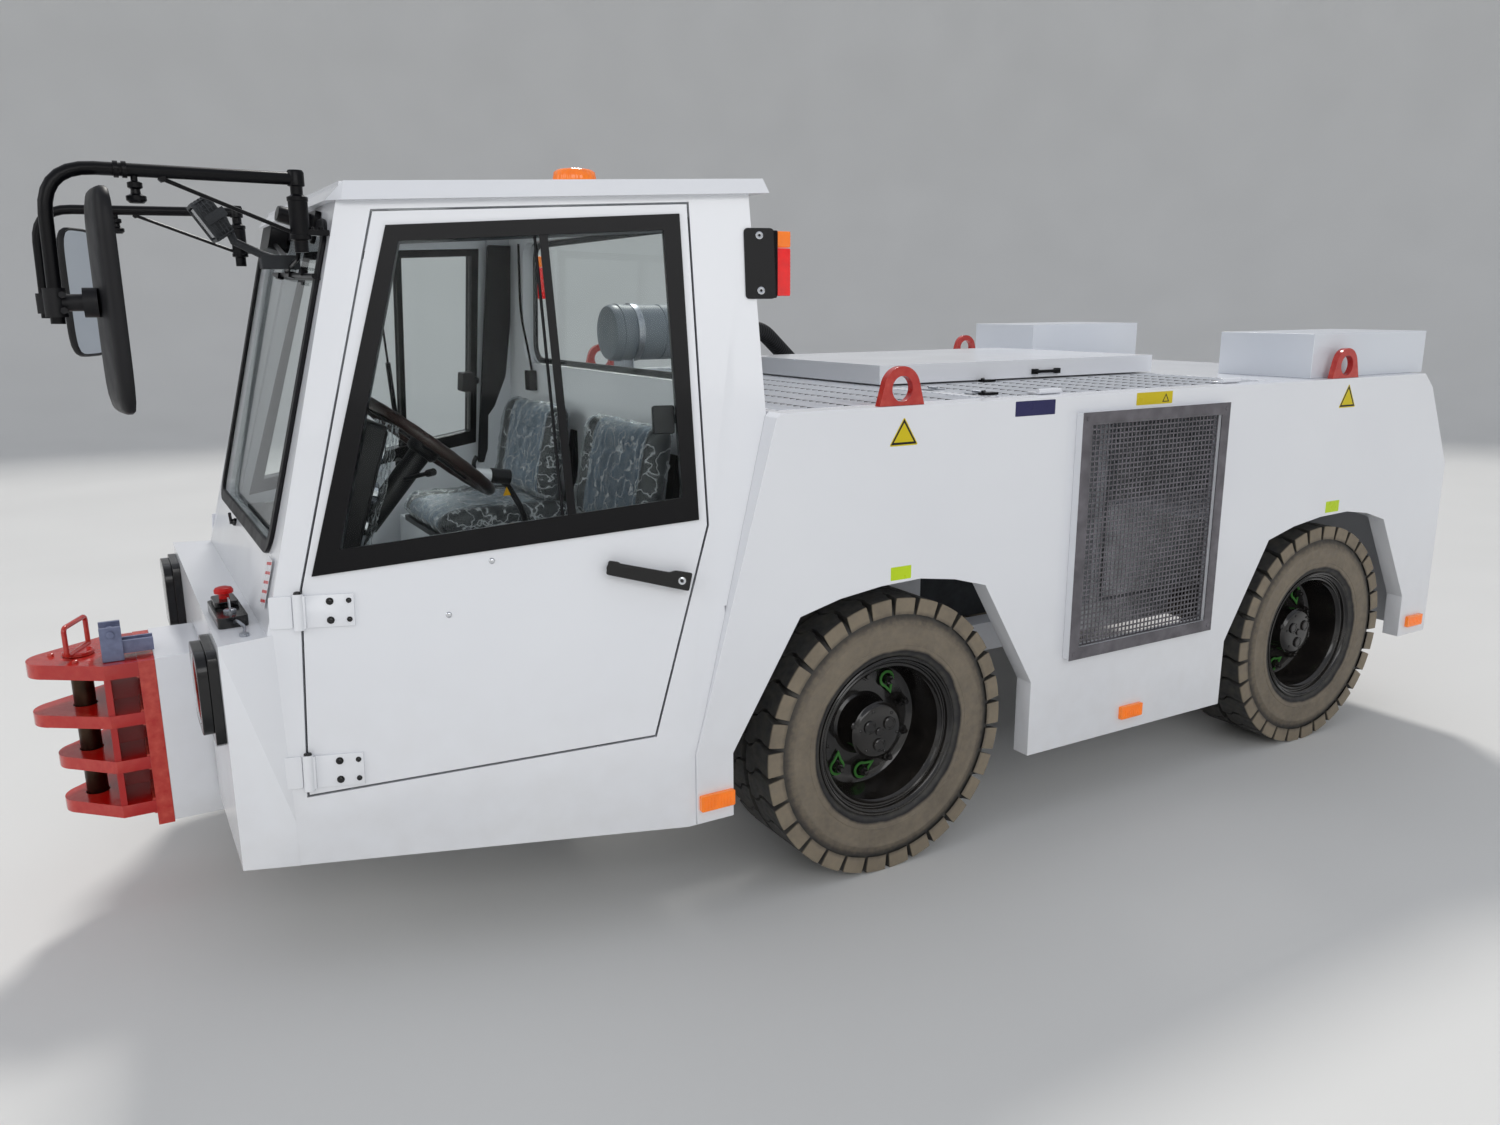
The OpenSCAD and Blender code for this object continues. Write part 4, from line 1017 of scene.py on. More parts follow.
# %% Tail lamps, markers and beacon
for side, name in SIDES:
    bracket = bmesh.new()
    corner = on_side(side, 0.351, 1.536)
    prism(bracket, rectangle(-0.034, 0.034, -0.077, 0.077, 0.01, 4), corner, 0.0052)

    def tab(u, v, w, side=side):
        return Vector((0.3205 - w + AXLE_X, side * u, v))
    prism(bracket, rounded([(0.742, 1.462), (0.825, 1.462), (0.803, 1.61), (0.742, 1.61)], 0.006, 3), tab, 0.004)
    prism(bracket, rectangle(0.743, 0.801, 1.465, 1.609, 0.006, 3), slid(tab, w=0.004), 0.016)
    piece(f"tail_bracket_{name}", bracket, satin_black, "tug", bevel=0.0012, replaces=["tail_lamps"])
    bm = bmesh.new()
    for z in (-0.06, 0.06):
        turned(bm, ((0.003, 0.0), (0.0085, 0.0), (0.0085, 0.0035), (0.006, 0.005), (0.003, 0.004)),
               slid(corner, v=z, w=0.0052), segments=24, closed=True)
    piece(f"tail_bolts_{name}", bm, chrome, "tug")
    for lens, low, high in ((red_lens, 1.4665, 1.5705), (amber_lens, 1.5725, 1.6075)):
        bm = bmesh.new()
        prism(bm, rectangle(0.744, 0.8, low, high, 0.004, 3), slid(tab, w=0.02), 0.034)
        for k in range(int((high - low) / 0.008) - 1):
            z = low + 0.009 + 0.008 * k
            prism(bm, [(0.747, z - 0.0022), (0.797, z - 0.0022), (0.797, z + 0.0022), (0.747, z + 0.0022)],
                  slid(tab, w=0.0535), 0.0028)
        kind = "red" if lens is red_lens else "amber"
        piece(f"tail_lens_{kind}_{name}", bm, lens, "tug", bevel=0.002)

bm = bmesh.new()
for side in (1, -1):
    for x, z in ((0.53, 0.339), (-0.838, 0.292), (-2.262, 0.353)):
        def marker(u, v, w, side=side, x=x, z=z):
            return Vector((x + u + AXLE_X, side * (HALF_WIDTH + w), z + v))
        prism(bm, rectangle(-0.044, 0.044, -0.019, 0.019, 0.004, 3), marker, 0.011)
        for k in range(9):
            prism(bm, [(-0.037 + 0.0085 * k, -0.013), (-0.032 + 0.0085 * k, -0.013), (-0.032 + 0.0085 * k, 0.013),
                       (-0.037 + 0.0085 * k, 0.013)], slid(marker, w=0.0108), 0.0011)
piece("side_markers", bm, amber_lens, "tug", bevel=0.0015, replaces=["amber_lamps"])


def beacon_at(x, y, h):
    return spot(0.455 + x, y, 1.7148 + h)


bm = bmesh.new()
turned(bm, ((0.0, 0.0), (0.067, 0.0), (0.067, 0.006), (0.062, 0.012), (0.06, 0.033), (0.056, 0.039), (0.0, 0.039)),
       beacon_at, segments=64)
piece("beacon_base", bm, black_abs, "tug", bevel=0.001, replaces=["amber_lamps"])
bm = bmesh.new()
profile = ((0.0, 0.0392), (0.056, 0.0392), (0.059, 0.042), (0.0575, 0.07), (0.0545, 0.084), (0.047, 0.09),
           (0.03, 0.0928), (0.0, 0.0935))
turned(bm, profile, beacon_at, segments=96)
axis = beacon_at(0, 0, 0)
for vert in bm.verts:
    out = Vector((vert.co.x - axis.x, vert.co.y - axis.y, 0))
    if out.length > 0.05:
        turn = math.atan2(out.y, out.x)
        vert.co += out.normalized() * 0.0011 * math.cos(24 * turn)
piece("beacon_dome", bm, amber_lens, "tug", angle=50)

# %% Headlamps and work lamp
def squircle(half_wide, half_tall, power, count=56):
    """A rounded square as points at even angles."""
    line = []
    for k in range(count):
        a = 2 * math.pi * k / count
        c, s = math.cos(a), math.sin(a)
        r = (abs(c / half_wide) ** power + abs(s / half_tall) ** power) ** (-1 / power)
        line.append((r * c, r * s))
    return line


def circle(radius, count=56, lift=0.0):
    """A circle as points at even angles."""
    angles = (2 * math.pi * k / count for k in range(count))
    return [(radius * math.cos(a), radius * math.sin(a) + lift) for a in angles]


for side, name in SIDES:
    def lamp_at(u, v, w, side=side):
        return spot(1.5032 + w, side * 0.47 - u, 0.655 + v)
    bm = bmesh.new()
    frame_prism(bm, squircle(0.099, 0.103, 9), circle(0.0775, lift=0.008), lamp_at, 0.02)
    frame_prism(bm, [(x, y + 0.008) for x, y in squircle(0.093, 0.09, 4.5)], circle(0.0775, lift=0.008),
                slid(lamp_at, w=0.0195), 0.0215)
    piece(f"headlamp_bezel_{name}", bm, gloss_abs, "tug", bevel=0.002, replaces=["lamps"])
    bm = bmesh.new()
    turned(bm, ((0.0, 0.001), (0.077, 0.001), (0.077, 0.038), (0.075, 0.038), (0.066, 0.025), (0.045, 0.013),
                (0.02, 0.008), (0.012, 0.008), (0.0, 0.0085)), slid(lamp_at, v=0.008), segments=56)
    turned(bm, ((0.0, 0.0085), (0.0095, 0.0085), (0.0095, 0.028), (0.006, 0.033), (0.0, 0.0335)),
           slid(lamp_at, v=0.008), segments=20)
    piece(f"headlamp_reflector_{name}", bm, chrome, "tug")
    bm = bmesh.new()
    turned(bm, ((0.0, 0.0385), (0.0765, 0.0385), (0.0765, 0.041), (0.06, 0.043), (0.03, 0.044), (0.0, 0.0442)),
           slid(lamp_at, v=0.008), segments=56)
    piece(f"headlamp_lens_{name}", bm, lamp_glass, "tug")

turn = Matrix.Translation(spot(1.4, 0.235, 1.63)) @ Matrix.Rotation(math.radians(33), 4, "Y")


def work_at(u, v, w):
    return turn @ Vector((w, -u, v))


bm = bmesh.new()
frame_prism(bm, squircle(0.052, 0.044, 9), squircle(0.046, 0.038, 9), work_at, 0.015)
prism(bm, squircle(0.05, 0.042, 9), slid(work_at, w=-0.028), 0.029)
for w in (-0.026, -0.018, -0.01, -0.002, 0.006):
    frame_prism(bm, squircle(0.0535, 0.0455, 9), squircle(0.049, 0.041, 9), slid(work_at, w=w), 0.0032)
for k in range(9):
    v = -0.04 + 0.01 * k
    prism(bm, [(-0.0532, v - 0.0014), (0.0532, v - 0.0014), (0.0532, v + 0.0014), (-0.0532, v + 0.0014)],
          slid(work_at, w=-0.026), 0.035)
for u in (-0.056, 0.056):
    box(bm, (-0.03, -u - 0.002, -0.01), (0.01, -u + 0.002, 0.01), turn)
box(bm, (-0.036, -0.058, -0.01), (-0.03, 0.058, 0.01), turn)
tube(bm, [work_at(0, 0, -0.032), spot(1.352, 0.235, 1.588), spot(1.3, 0.235, 1.562), spot(1.262, 0.235, 1.548)],
     0.009, 14)
box(bm, spot(1.222, 0.215, 1.53), spot(1.302, 0.255, 1.56))
piece("work_lamp_body", bm, cast_iron, "tug", bevel=0.0006)
emitters = repeated(rows, block((0.0165, 0.013, 0.004)), chrome, place=turn @ Matrix.Translation((0.006, 0, 0)) @
                    Matrix.Rotation(math.pi / 2, 4, "Y"), Columns=4, Lines=5, Width=0.055, Height=0.074)
piece("work_lamp_leds", joined(emitters), chrome, "tug", outward=False)
bm = bmesh.new()
prism(bm, squircle(0.0455, 0.0335, 7), slid(work_at, w=0.0095), 0.003)
piece("work_lamp_lens", bm, lamp_glass, "tug")
print("lamps done")

# %% [markdown]
# ## Mirrors and wiper
# Each mirror hangs from a bent tube on a pivot post at the roof's front corner, with a thin stay rod below it.
# `bent` rounds the corners of a line of points, the way a tube bender does. A head is a domed black shell with
# the glass on the driver's side. The wiper is parked across the top of the screen.

# %% Mirror arms and heads
def bent(points, reach, steps=7):
    """An open line of 3-D points with its corners rounded."""
    points = [Vector(p) for p in points]
    line = [points[0]]
    for before, here, after in zip(points, points[1:], points[2:]):
        a, b = before - here, after - here
        cut = min(reach, a.length * 0.48, b.length * 0.48)
        start, end = here + a.normalized() * cut, here + b.normalized() * cut
        shares = (k / steps for k in range(steps + 1))
        line += [start * (1 - t) ** 2 + here * 2 * t * (1 - t) + end * t * t for t in shares]
    return line + [points[-1]]


def collar(bm, start, end, radius, segments=24):
    """A short plain cylinder between two points."""
    tube(bm, [start, end], radius, segments)


for side, name, drop, low, high in ((1, "left", 1.7, 1.252, 1.664), (-1, "right", 1.736, 1.318, 1.652)):
    def arm_spot(x, y, z, side=side):
        return spot(x, side * y, z)

    def post_at(x, y, h, side=side):
        return spot(1.255 + x, side * 0.49 + y, h)
    bm = bmesh.new()
    turned(bm, ((0.0, 1.5565), (0.0135, 1.5565), (0.0135, 1.58), (0.0205, 1.582), (0.0205, 1.59), (0.019, 1.5915),
                (0.019, 1.656), (0.0205, 1.6575), (0.0205, 1.665), (0.015, 1.667), (0.012, 1.67), (0.012, 1.685),
                (0.0165, 1.6865), (0.0165, 1.712), (0.014, 1.717), (0.0, 1.7178)), post_at, segments=28)
    line = bent([arm_spot(1.255, 0.49, 1.7), arm_spot(drop - 0.005, 0.552, 1.6975), arm_spot(drop, 0.556, 1.42)],
                0.085)
    tube(bm, line, 0.0122, 18)
    for x in (1.562, 1.576):
        share = (x - 1.255) / (drop - 1.26)
        here = arm_spot(x, 0.49 + 0.062 * share, 1.7 - 0.0025 * share)
        collar(bm, here - Vector((0.0042, 0, 0)), here + Vector((0.0042, 0, 0)), 0.0152)
    tube(bm, [arm_spot(1.262, 0.488, 1.593), arm_spot(1.5, 0.524, 1.686)], 0.0042, 10)
    for x, y, z in ((1.262, 0.488, 1.593), (1.5, 0.524, 1.686)):
        collar(bm, arm_spot(x, y - 0.008, z), arm_spot(x, y + 0.008, z), 0.0075, 6)
    place = arm_spot(1.547, 0.531, 1.0)
    turned(bm, ((0.0, 1.638), (0.012, 1.639), (0.0175, 1.644), (0.0175, 1.652), (0.009, 1.656), (0.008, 1.664),
                (0.013, 1.667), (0.013, 1.676), (0.006, 1.679), (0.006, 1.688)),
           lambda x, y, h, place=place: Vector((place.x + x, place.y + y, h)), segments=22)
    box(bm, (1.201 + AXLE_X, side * 0.49 - 0.014, 1.5905), (1.254 + AXLE_X, side * 0.49 + 0.014, 1.6015))
    for x in (1.214, 1.232):
        hexagon(bm, lambda a, b, c, x=x: spot(x + a, side * 0.49 + b, 1.6015 + c), 0.0055, 0.006)
    piece(f"mirror_arm_{name}", bm, satin_black, "tug", bevel=0.0006, replaces=["mirror_arms"])

    middle, tall = (low + high) / 2, (high - low) / 2
    turn = math.radians(7 if side > 0 else -26)
    head = Matrix.Translation(arm_spot(drop - 0.098, 0.556, middle)) @ Matrix.Rotation(turn, 4, "Z")
    wide = 0.086
    bm = bmesh.new()
    rings = []
    for share, depth in ((0.955, 0.003), (0.985, 0.0), (1.0, 0.003), (1.0, 0.011), (0.985, 0.016), (0.94, 0.0215),
                         (0.8, 0.0262), (0.5, 0.0284), (0.15, 0.029)):
        inset = wide * (1 - share)
        line = squircle(wide - inset, tall - inset * 1.6, 5.5, 64)
        rings.append([bm.verts.new(head @ Vector((depth, u, v))) for u, v in line])
    for lower, upper in zip(rings, rings[1:]):
        for k in range(64):
            n = (k + 1) % 64
            bm.faces.new((lower[k], lower[n], upper[n], upper[k]))
    bm.faces.new(rings[0][::-1])
    bm.faces.new(rings[-1])
    hub = head @ Vector((0.03, 0, 1.458 - middle))
    knob = arm_spot(drop, 0.556, 1.458)
    collar(bm, hub, knob, 0.0155, 24)
    collar(bm, hub, hub + (knob - hub) * 0.35, 0.027, 24)
    collar(bm, knob - Vector((0, 0, 0.026)), knob + Vector((0, 0, 0.026)), 0.019, 24)
    for z in (-0.014, 0.014):
        collar(bm, knob + Vector((-0.012, side * 0.016, z)), knob + Vector((-0.012, side * 0.031, z)), 0.0065, 6)
    piece(f"mirror_head_{name}", bm, black_abs, "tug", angle=40, replaces=["mirrors"])
    bm = bmesh.new()
    prism(bm, squircle(wide * 0.945, tall - wide * 0.088, 5.5, 64), lambda u, v,
          w: head @ Vector((0.0036 - w, u, v)), 0.0016)
    piece(f"mirror_glass_{name}", bm, mirror_silver, "tug")

# %% Wiper, washer nozzle and screen plate
LEAN_BACK = math.atan2(0.234, 0.92)


def on_screen(u, v, w):
    """A point on the screen's plane: u to the left, v up the glass, w out of it."""
    c, s = math.cos(LEAN_BACK), math.sin(LEAN_BACK)
    return spot(1.406 - v * s + w * c, u, 0.78 + v * c + w * s)


bm = bmesh.new()
tube(bm, [on_screen(0.481, 0.75, 0.014), on_screen(0.2, 0.7585, 0.015), on_screen(-0.086, 0.766, 0.014)], 0.0052, 8)
for u in (0.36, 0.2, 0.04):
    box(bm, (-0.016, -0.007, 0.01), (0.016, 0.007, 0.024), Matrix.Translation(on_screen(u, 0.758, 0.0)) @
        Matrix.Rotation(math.pi / 2, 4, "Z") @ Matrix.Rotation(math.pi / 2 - LEAN_BACK, 4, "X"))
tube(bm, bent([on_screen(0.2, 0.76, 0.025), on_screen(0.19, 0.793, 0.03), on_screen(-0.02, 0.835, 0.034)], 0.02),
     0.0055, 10)
tube(bm, bent([on_screen(0.2, 0.766, 0.027), on_screen(0.353, 0.787, 0.03), on_screen(0.33, 0.842, 0.034)], 0.02),
     0.005, 10)
for u, v in ((-0.02, 0.835), (0.33, 0.842)):
    turned(bm, ((0.0, 0.0), (0.016, 0.0), (0.016, 0.008), (0.011, 0.011), (0.011, 0.038), (0.0085, 0.042),
                (0.0, 0.042)),
           lambda a, b, c, u=u, v=v: on_screen(u + a, v + b, c), segments=20)
prism(bm, rectangle(-0.13, 0.01, 0.818, 0.874, 0.012, 4),
      lambda u, v, w: on_screen(u, v, 0.01 + w), 0.04)
turned(bm, ((0.0, 0.0), (0.03, 0.0), (0.03, 0.07), (0.026, 0.076), (0.0, 0.076)),
       lambda a, b, c: on_screen(0.3 + a, 0.873 + b * 0.6, 0.012 + c * 0.9), segments=28)
prism(bm, rectangle(0.245, 0.365, 0.85, 0.895, 0.008, 3),
      lambda u, v, w: on_screen(u, v, 0.002 + w), 0.012)
piece("wiper_dressed", bm, satin_black, "tug", bevel=0.0005, replaces=["wiper"])
bm = bmesh.new()
prism(bm, [(0.481, 0.7445), (0.2, 0.753), (-0.086, 0.7605), (-0.086, 0.7635), (0.2, 0.756), (0.481, 0.7475)],
      lambda u, v, w: on_screen(u, v, -0.0115 + w), 0.024)
piece("wiper_rubber", bm, seal_rubber, "tug")

bm = bmesh.new()
turned(bm, ((0.0, 0.0), (0.01, 0.0), (0.01, 0.006), (0.007, 0.009), (0.007, 0.015), (0.0, 0.016)),
       lambda a, b, c: on_screen(-0.129 + a, 0.128 + b, c - 0.0005), segments=16)
tube(bm, [on_screen(-0.129, 0.128, 0.012), on_screen(-0.121, 0.15, 0.02)], 0.004, 10)
piece("washer_nozzle", bm, gloss_abs, "tug")
print("mirrors and wiper done")

# %% [markdown]
# ## Plates and switches
# The plates carry no wording here. Each is a thin foil on the panel: a dark blue one, yellow ones, two yellow
# triangles with a black border, and a red and white hatched one beside the screen. The emergency stop stands
# on the ledge in front of the screen on a black housing.

# %% Plates on the panels
plate_blue = moulded("plate_foil_dark_blue", "#2b2a5c", "#242450", 0.3, 8, 0.01)
plate_yellow = moulded("plate_foil_yellow", "#d8c414", "#cdb70f", 0.3, 8, 0.01)
plate_green = moulded("plate_foil_yellow_green", "#c3e01c", "#b8d219", 0.3, 8, 0.01)
plate_black = moulded("plate_foil_black", "#131216", "#1b1a1f", 0.3, 8, 0.01)
plate_white = moulded("plate_foil_white", "#dfe0e4", "#d4d5da", 0.3, 8, 0.01)
plate_red = moulded("plate_foil_red", "#c9242a", "#bb1c22", 0.3, 8, 0.01)
FOIL = 0.0004


def on_panel(side, low=0.0):
    """A placing function on a side panel, in metres from the front axle, `low` above its paint."""
    return lambda u, v, w: Vector((u + AXLE_X, side * (HALF_WIDTH + low + w), v))


for side, name in SIDES:
    at = on_panel(side)
    bm = bmesh.new()
    prism(bm, rectangle(-0.474, -0.337, 1.169, 1.207), at, FOIL)
    piece(f"plate_blue_{name}", bm, plate_blue, "tug")
    bm = bmesh.new()
    prism(bm, rectangle(-0.918, -0.775, 1.176, 1.2095), at, FOIL)
    for x, base, apex in ((0.014, 1.12, 1.188), (-1.732, 1.123, 1.197)):
        prism(bm, rounded([(x - 0.043, base), (x + 0.043, base), (x, apex)], 0.006, 3), at, FOIL)
    piece(f"plates_yellow_{name}", bm, plate_yellow, "tug")
    bm = bmesh.new()
    for x, base, apex in ((0.014, 1.12, 1.188), (-1.732, 1.123, 1.197)):
        tall = apex - base
        outer = [(x - 0.0385, base + 0.003), (x + 0.0385, base + 0.003), (x, base + tall * 0.93)]
        inner = [(x - 0.03, base + 0.0085), (x + 0.03, base + 0.0085), (x, base + tall * 0.8)]
        frame_prism(bm, outer, inner, on_panel(side, FOIL), 0.00015)
    small = [(-0.905, 1.181), (-0.877, 1.181), (-0.891, 1.204)]
    frame_prism(bm, small, [(-0.9, 1.1835), (-0.882, 1.1835), (-0.891, 1.1985)], on_panel(side, FOIL), 0.00015)
    piece(f"plate_borders_{name}", bm, plate_black, "tug")
    bm = bmesh.new()
    for x0, x1, z0, z1 in ((-0.019, 0.043, 0.793, 0.826), (-1.749, -1.68, 0.792, 0.828)):
        prism(bm, rectangle(x0, x1, z0, z1), at, FOIL)
    piece(f"plates_green_{name}", bm, plate_green, "tug")


def ahead_of_screen(u, v, w):
    return on_screen(u, v, 0.0052 + w)


bm = bmesh.new()
prism(bm, rectangle(0.452, 0.512, 0.045, 0.15), ahead_of_screen, FOIL)
piece("plate_hatched_ground", bm, plate_white, "tug")
bm = bmesh.new()
for k in range(5):
    v = 0.048 + 0.0205 * k
    prism(bm, [(0.454, v), (0.51, v + 0.01), (0.51, v + 0.0165), (0.454, v + 0.0065)],
          lambda u, q, w: on_screen(u, q, 0.0052 + FOIL + w), 0.00015)
piece("plate_hatching", bm, plate_red, "tug")

# %% Emergency stop on the ledge
bm = bmesh.new()
prism(bm, rounded([(1.43, 0.272), (1.492, 0.284), (1.488, 0.466), (1.426, 0.46)], 0.01, 4),
      lambda u, v, w: spot(u, v, 0.7802 + w), 0.024)
prism(bm, rounded([(1.437, 0.286), (1.485, 0.294), (1.483, 0.372), (1.433, 0.366)], 0.008, 4),
      lambda u, v, w: spot(u, v, 0.8042 + w), 0.012)
piece("stop_housing", bm, gloss_abs, "tug", bevel=0.0015)
bm = bmesh.new()
turned(bm, ((0.0, 0.8162), (0.011, 0.8162), (0.011, 0.826), (0.02, 0.829), (0.0205, 0.835), (0.0175, 0.84),
            (0.01, 0.8425),
            (0.0, 0.843)), lambda a, b, c: spot(1.459 + a, 0.33 + b, c), segments=32)
piece("stop_button", bm, red_abs, "tug")
bm = bmesh.new()
turned(bm, ((0.0, 0.8042), (0.013, 0.8042), (0.013, 0.809), (0.01, 0.811), (0.0, 0.811)),
       lambda a, b, c: spot(1.458 + a, 0.415 + b, c), segments=24)
box(bm, spot(1.4565, 0.402, 0.811), spot(1.4595, 0.428, 0.834))
tube(bm, bent([spot(1.458, 0.447, 0.786), spot(1.452, 0.48, 0.8), spot(1.44, 0.512, 0.792),
               spot(1.446, 0.536, 0.784)], 0.012),
     0.0034, 8)
turned(bm, ((0.0, 0.7802), (0.01, 0.7802), (0.01, 0.786), (0.0, 0.788)), lambda a, b,
       c: spot(1.446 + a, 0.54 + b, c), segments=16)
piece("stop_key", bm, zinc_plate, "tug")
print("plates and switches done")

# %% [markdown]
# ## Tow pins, catches and deck fittings
# A drop pin runs through the four jaw plates and is lifted by a red square loop. A steel catch and its lever
# sit beside it on the beam. On the deck are the small hinges and latches of the gratings, and the air cleaner
# stands behind the cab with its corrugated hose.

# %% Pins and catches
PIN_X = 0.153                             # ahead of the beam's face


def jaw_place(end):
    """The matrix of the front (1) or rear (-1) jaw, with x out of the vehicle and the beam's face at 0."""
    if end > 0:
        return Matrix.Translation((1.606 + AXLE_X, 0, 0))
    return Matrix.Translation((-2.373 + AXLE_X, 0, 0)) @ Matrix.Rotation(math.pi, 4, "Z")


for end, name in ((1, "front"), (-1, "rear")):
    place = jaw_place(end)

    def pin_at(x, y, h, place=place):
        return place @ Vector((PIN_X + x, y, h))
    bm = bmesh.new()
    turned(bm, ((0.0, 0.258), (0.018, 0.258), (0.0235, 0.268), (0.0235, 0.6455), (0.0, 0.6455)), pin_at,
           segments=40)
    piece(f"tow_pin_{name}", bm, pin_steel, "tug", replaces=["tow_pins"])
    bm = bmesh.new()
    turned(bm, ((0.0, 0.6462), (0.034, 0.6462), (0.034, 0.653), (0.0315, 0.6552), (0.0, 0.6552)), pin_at,
           segments=36)
    swing = math.radians(67)
    corners = [pin_at(u * math.cos(swing), u * math.sin(swing), v)
               for u, v in ((-0.056, 0.656), (-0.056, 0.724), (0.056, 0.724), (0.056, 0.656))]
    tube(bm, bent(corners + corners[:1], 0.012), 0.0058, 12)
    piece(f"pin_loop_{name}", bm, red_enamel, "tug", bevel=0.0006)

    bm = bmesh.new()
    box(bm, (0.06, 0.042, 0.646), (0.105, 0.052, 0.727), place)
    box(bm, (0.06, 0.103, 0.646), (0.105, 0.113, 0.727), place)
    box(bm, (0.066, 0.052, 0.646), (0.099, 0.103, 0.699), place)
    tube(bm, [place @ Vector((0.083, 0.038, 0.71)), place @ Vector((0.083, 0.117, 0.71))], 0.0085, 20)
    box(bm, (-0.004, 0.05, 0.656), (0.062, 0.058, 0.687), place)
    box(bm, (-0.004, 0.084, 0.656), (0.062, 0.092, 0.687), place)
    box(bm, (0.01, 0.058, 0.66), (0.052, 0.084, 0.68), place)
    hexagon(bm, lambda a, b, c, place=place: place @ Vector((0.083 + a, b + 0.078, 0.699 + c)), 0.009, 0.008)
    piece(f"pin_catch_{name}", bm, catch_steel, "tug", bevel=0.0012)

    bm = bmesh.new()
    for x, y in ((0.21, -0.015), (0.16, 0.075), (0.095, -0.1)):
        dome(bm, lambda a, b, c, x=x, y=y, place=place: place @ Vector((x + a, y + b, 0.6448 + c)), 0.007, 0.008)
    for z, thick in ((0.61, 0.035), (0.492, 0.03), (0.38, 0.03), (0.268, 0.03)):
        for high, sign in ((z, -1), (z + thick, 1)):
            if sign < 0 or z < 0.6:
                tube(bm, [place @ Vector((0.037, -0.136, high)), place @ Vector((0.037, 0.136, high))], 0.005, 8)
    piece(f"jaw_welds_{name}", bm, red_enamel, "tug")

# %% Hinges and latches in the deck
steel_bits, black_bits = bmesh.new(), bmesh.new()
for x, y in ((-0.787, -0.357), (-0.739, 0.212), (-0.355, 0.559), (-0.363, 0.731), (-0.62, -0.7), (-1.33, 0.3)):
    knuckle = spot(x, y, DECK_Z)
    box(steel_bits, knuckle + Vector((-0.03, -0.016, 0.0004)), knuckle + Vector((-0.002, 0.016, 0.0035)))
    box(steel_bits, knuckle + Vector((0.002, -0.016, 0.0004)), knuckle + Vector((0.03, 0.016, 0.0035)))
    tube(steel_bits, [knuckle + Vector((0, -0.017, 0.0052)), knuckle + Vector((0, 0.017, 0.0052))], 0.0042, 12)
for x, y in ((-0.794, -0.429), (-0.693, 0.403), (-0.365, 0.772)):
    knuckle = spot(x, y, DECK_Z)
    box(black_bits, knuckle + Vector((-0.024, -0.013, 0.0004)), knuckle + Vector((0.024, 0.013, 0.007)))
    tube(black_bits, [knuckle + Vector((0.004, -0.01, 0.009)), knuckle + Vector((0.03, 0.01, 0.01))], 0.0034, 10)
bm = bmesh.new()
for x in (-1.0, -0.905):
    box(bm, spot(x - 0.009, 0.3795, 1.229), spot(x + 0.009, 0.393, 1.245))
tube(bm, bent([spot(-1.004, 0.384, 1.237), spot(-1.004, 0.394, 1.237), spot(-0.901, 0.394, 1.237),
               spot(-0.901, 0.384, 1.237)], 0.006),
     0.005, 12)
piece("cover_handle", bm, satin_black, "cover", bevel=0.0008)
piece("deck_hinges", steel_bits, zinc_plate, "tug", bevel=0.0006)
piece("deck_latches", black_bits, satin_black, "tug", bevel=0.0006)

# %% Air cleaner and its hose
def along_x(x, y, h):
    """Turned parts of the air cleaner: height runs forward from the rear end."""
    return spot(h, -0.43 + x, 1.358 + y)


bm = bmesh.new()
turned(bm, ((0.0, -0.24), (0.072, -0.24), (0.086, -0.234), (0.0895, -0.225), (0.0895, -0.07), (0.087, -0.068),
            (0.087, -0.062), (0.0895, -0.06), (0.0895, 0.01), (0.087, 0.012), (0.087, 0.018), (0.0895, 0.02),
            (0.0895, 0.145), (0.0925, 0.147), (0.0925, 0.158), (0.0895, 0.16), (0.0895, 0.176), (0.084, 0.186),
            (0.06, 0.189), (0.03, 0.186), (0.0, 0.185)), along_x, segments=64)
piece("air_cleaner_body", bm, grey_pp, "tug", replaces=["air_intake"])
bm = bmesh.new()
for x in (-0.158, 0.102):
    turned(bm, ((0.0897, x - 0.011), (0.0925, x - 0.011), (0.0935, x), (0.0925, x + 0.011), (0.0897, x + 0.011)),
           along_x,
           segments=64, closed=True)
    box(bm, spot(x - 0.011, -0.444, 1.446), spot(x + 0.011, -0.416, 1.4515))
for x in (-0.15, 0.13):
    place = spot(x, -0.43, 0)
    box(bm, place + Vector((-0.02, -0.04, 1.2145)), place + Vector((0.02, 0.04, 1.219)))
    box(bm, place + Vector((-0.019, -0.039, 1.219)), place + Vector((-0.015, 0.039, 1.276)))
    box(bm, place + Vector((0.015, -0.039, 1.219)), place + Vector((0.019, 0.039, 1.276)))
turned(bm, ((0.042, -0.29), (0.0435, -0.289), (0.0435, -0.278), (0.042, -0.277)), along_x, segments=40, closed=True)
piece("air_cleaner_bands", bm, zinc_plate, "tug", bevel=0.0005)
bm = bmesh.new()
turned(bm, ((0.0, -0.298), (0.04, -0.298), (0.0418, -0.296), (0.0418, -0.245), (0.0, -0.245)), along_x, segments=40)
piece("air_cleaner_cuff", bm, hose_rubber, "tug", bevel=0.001)

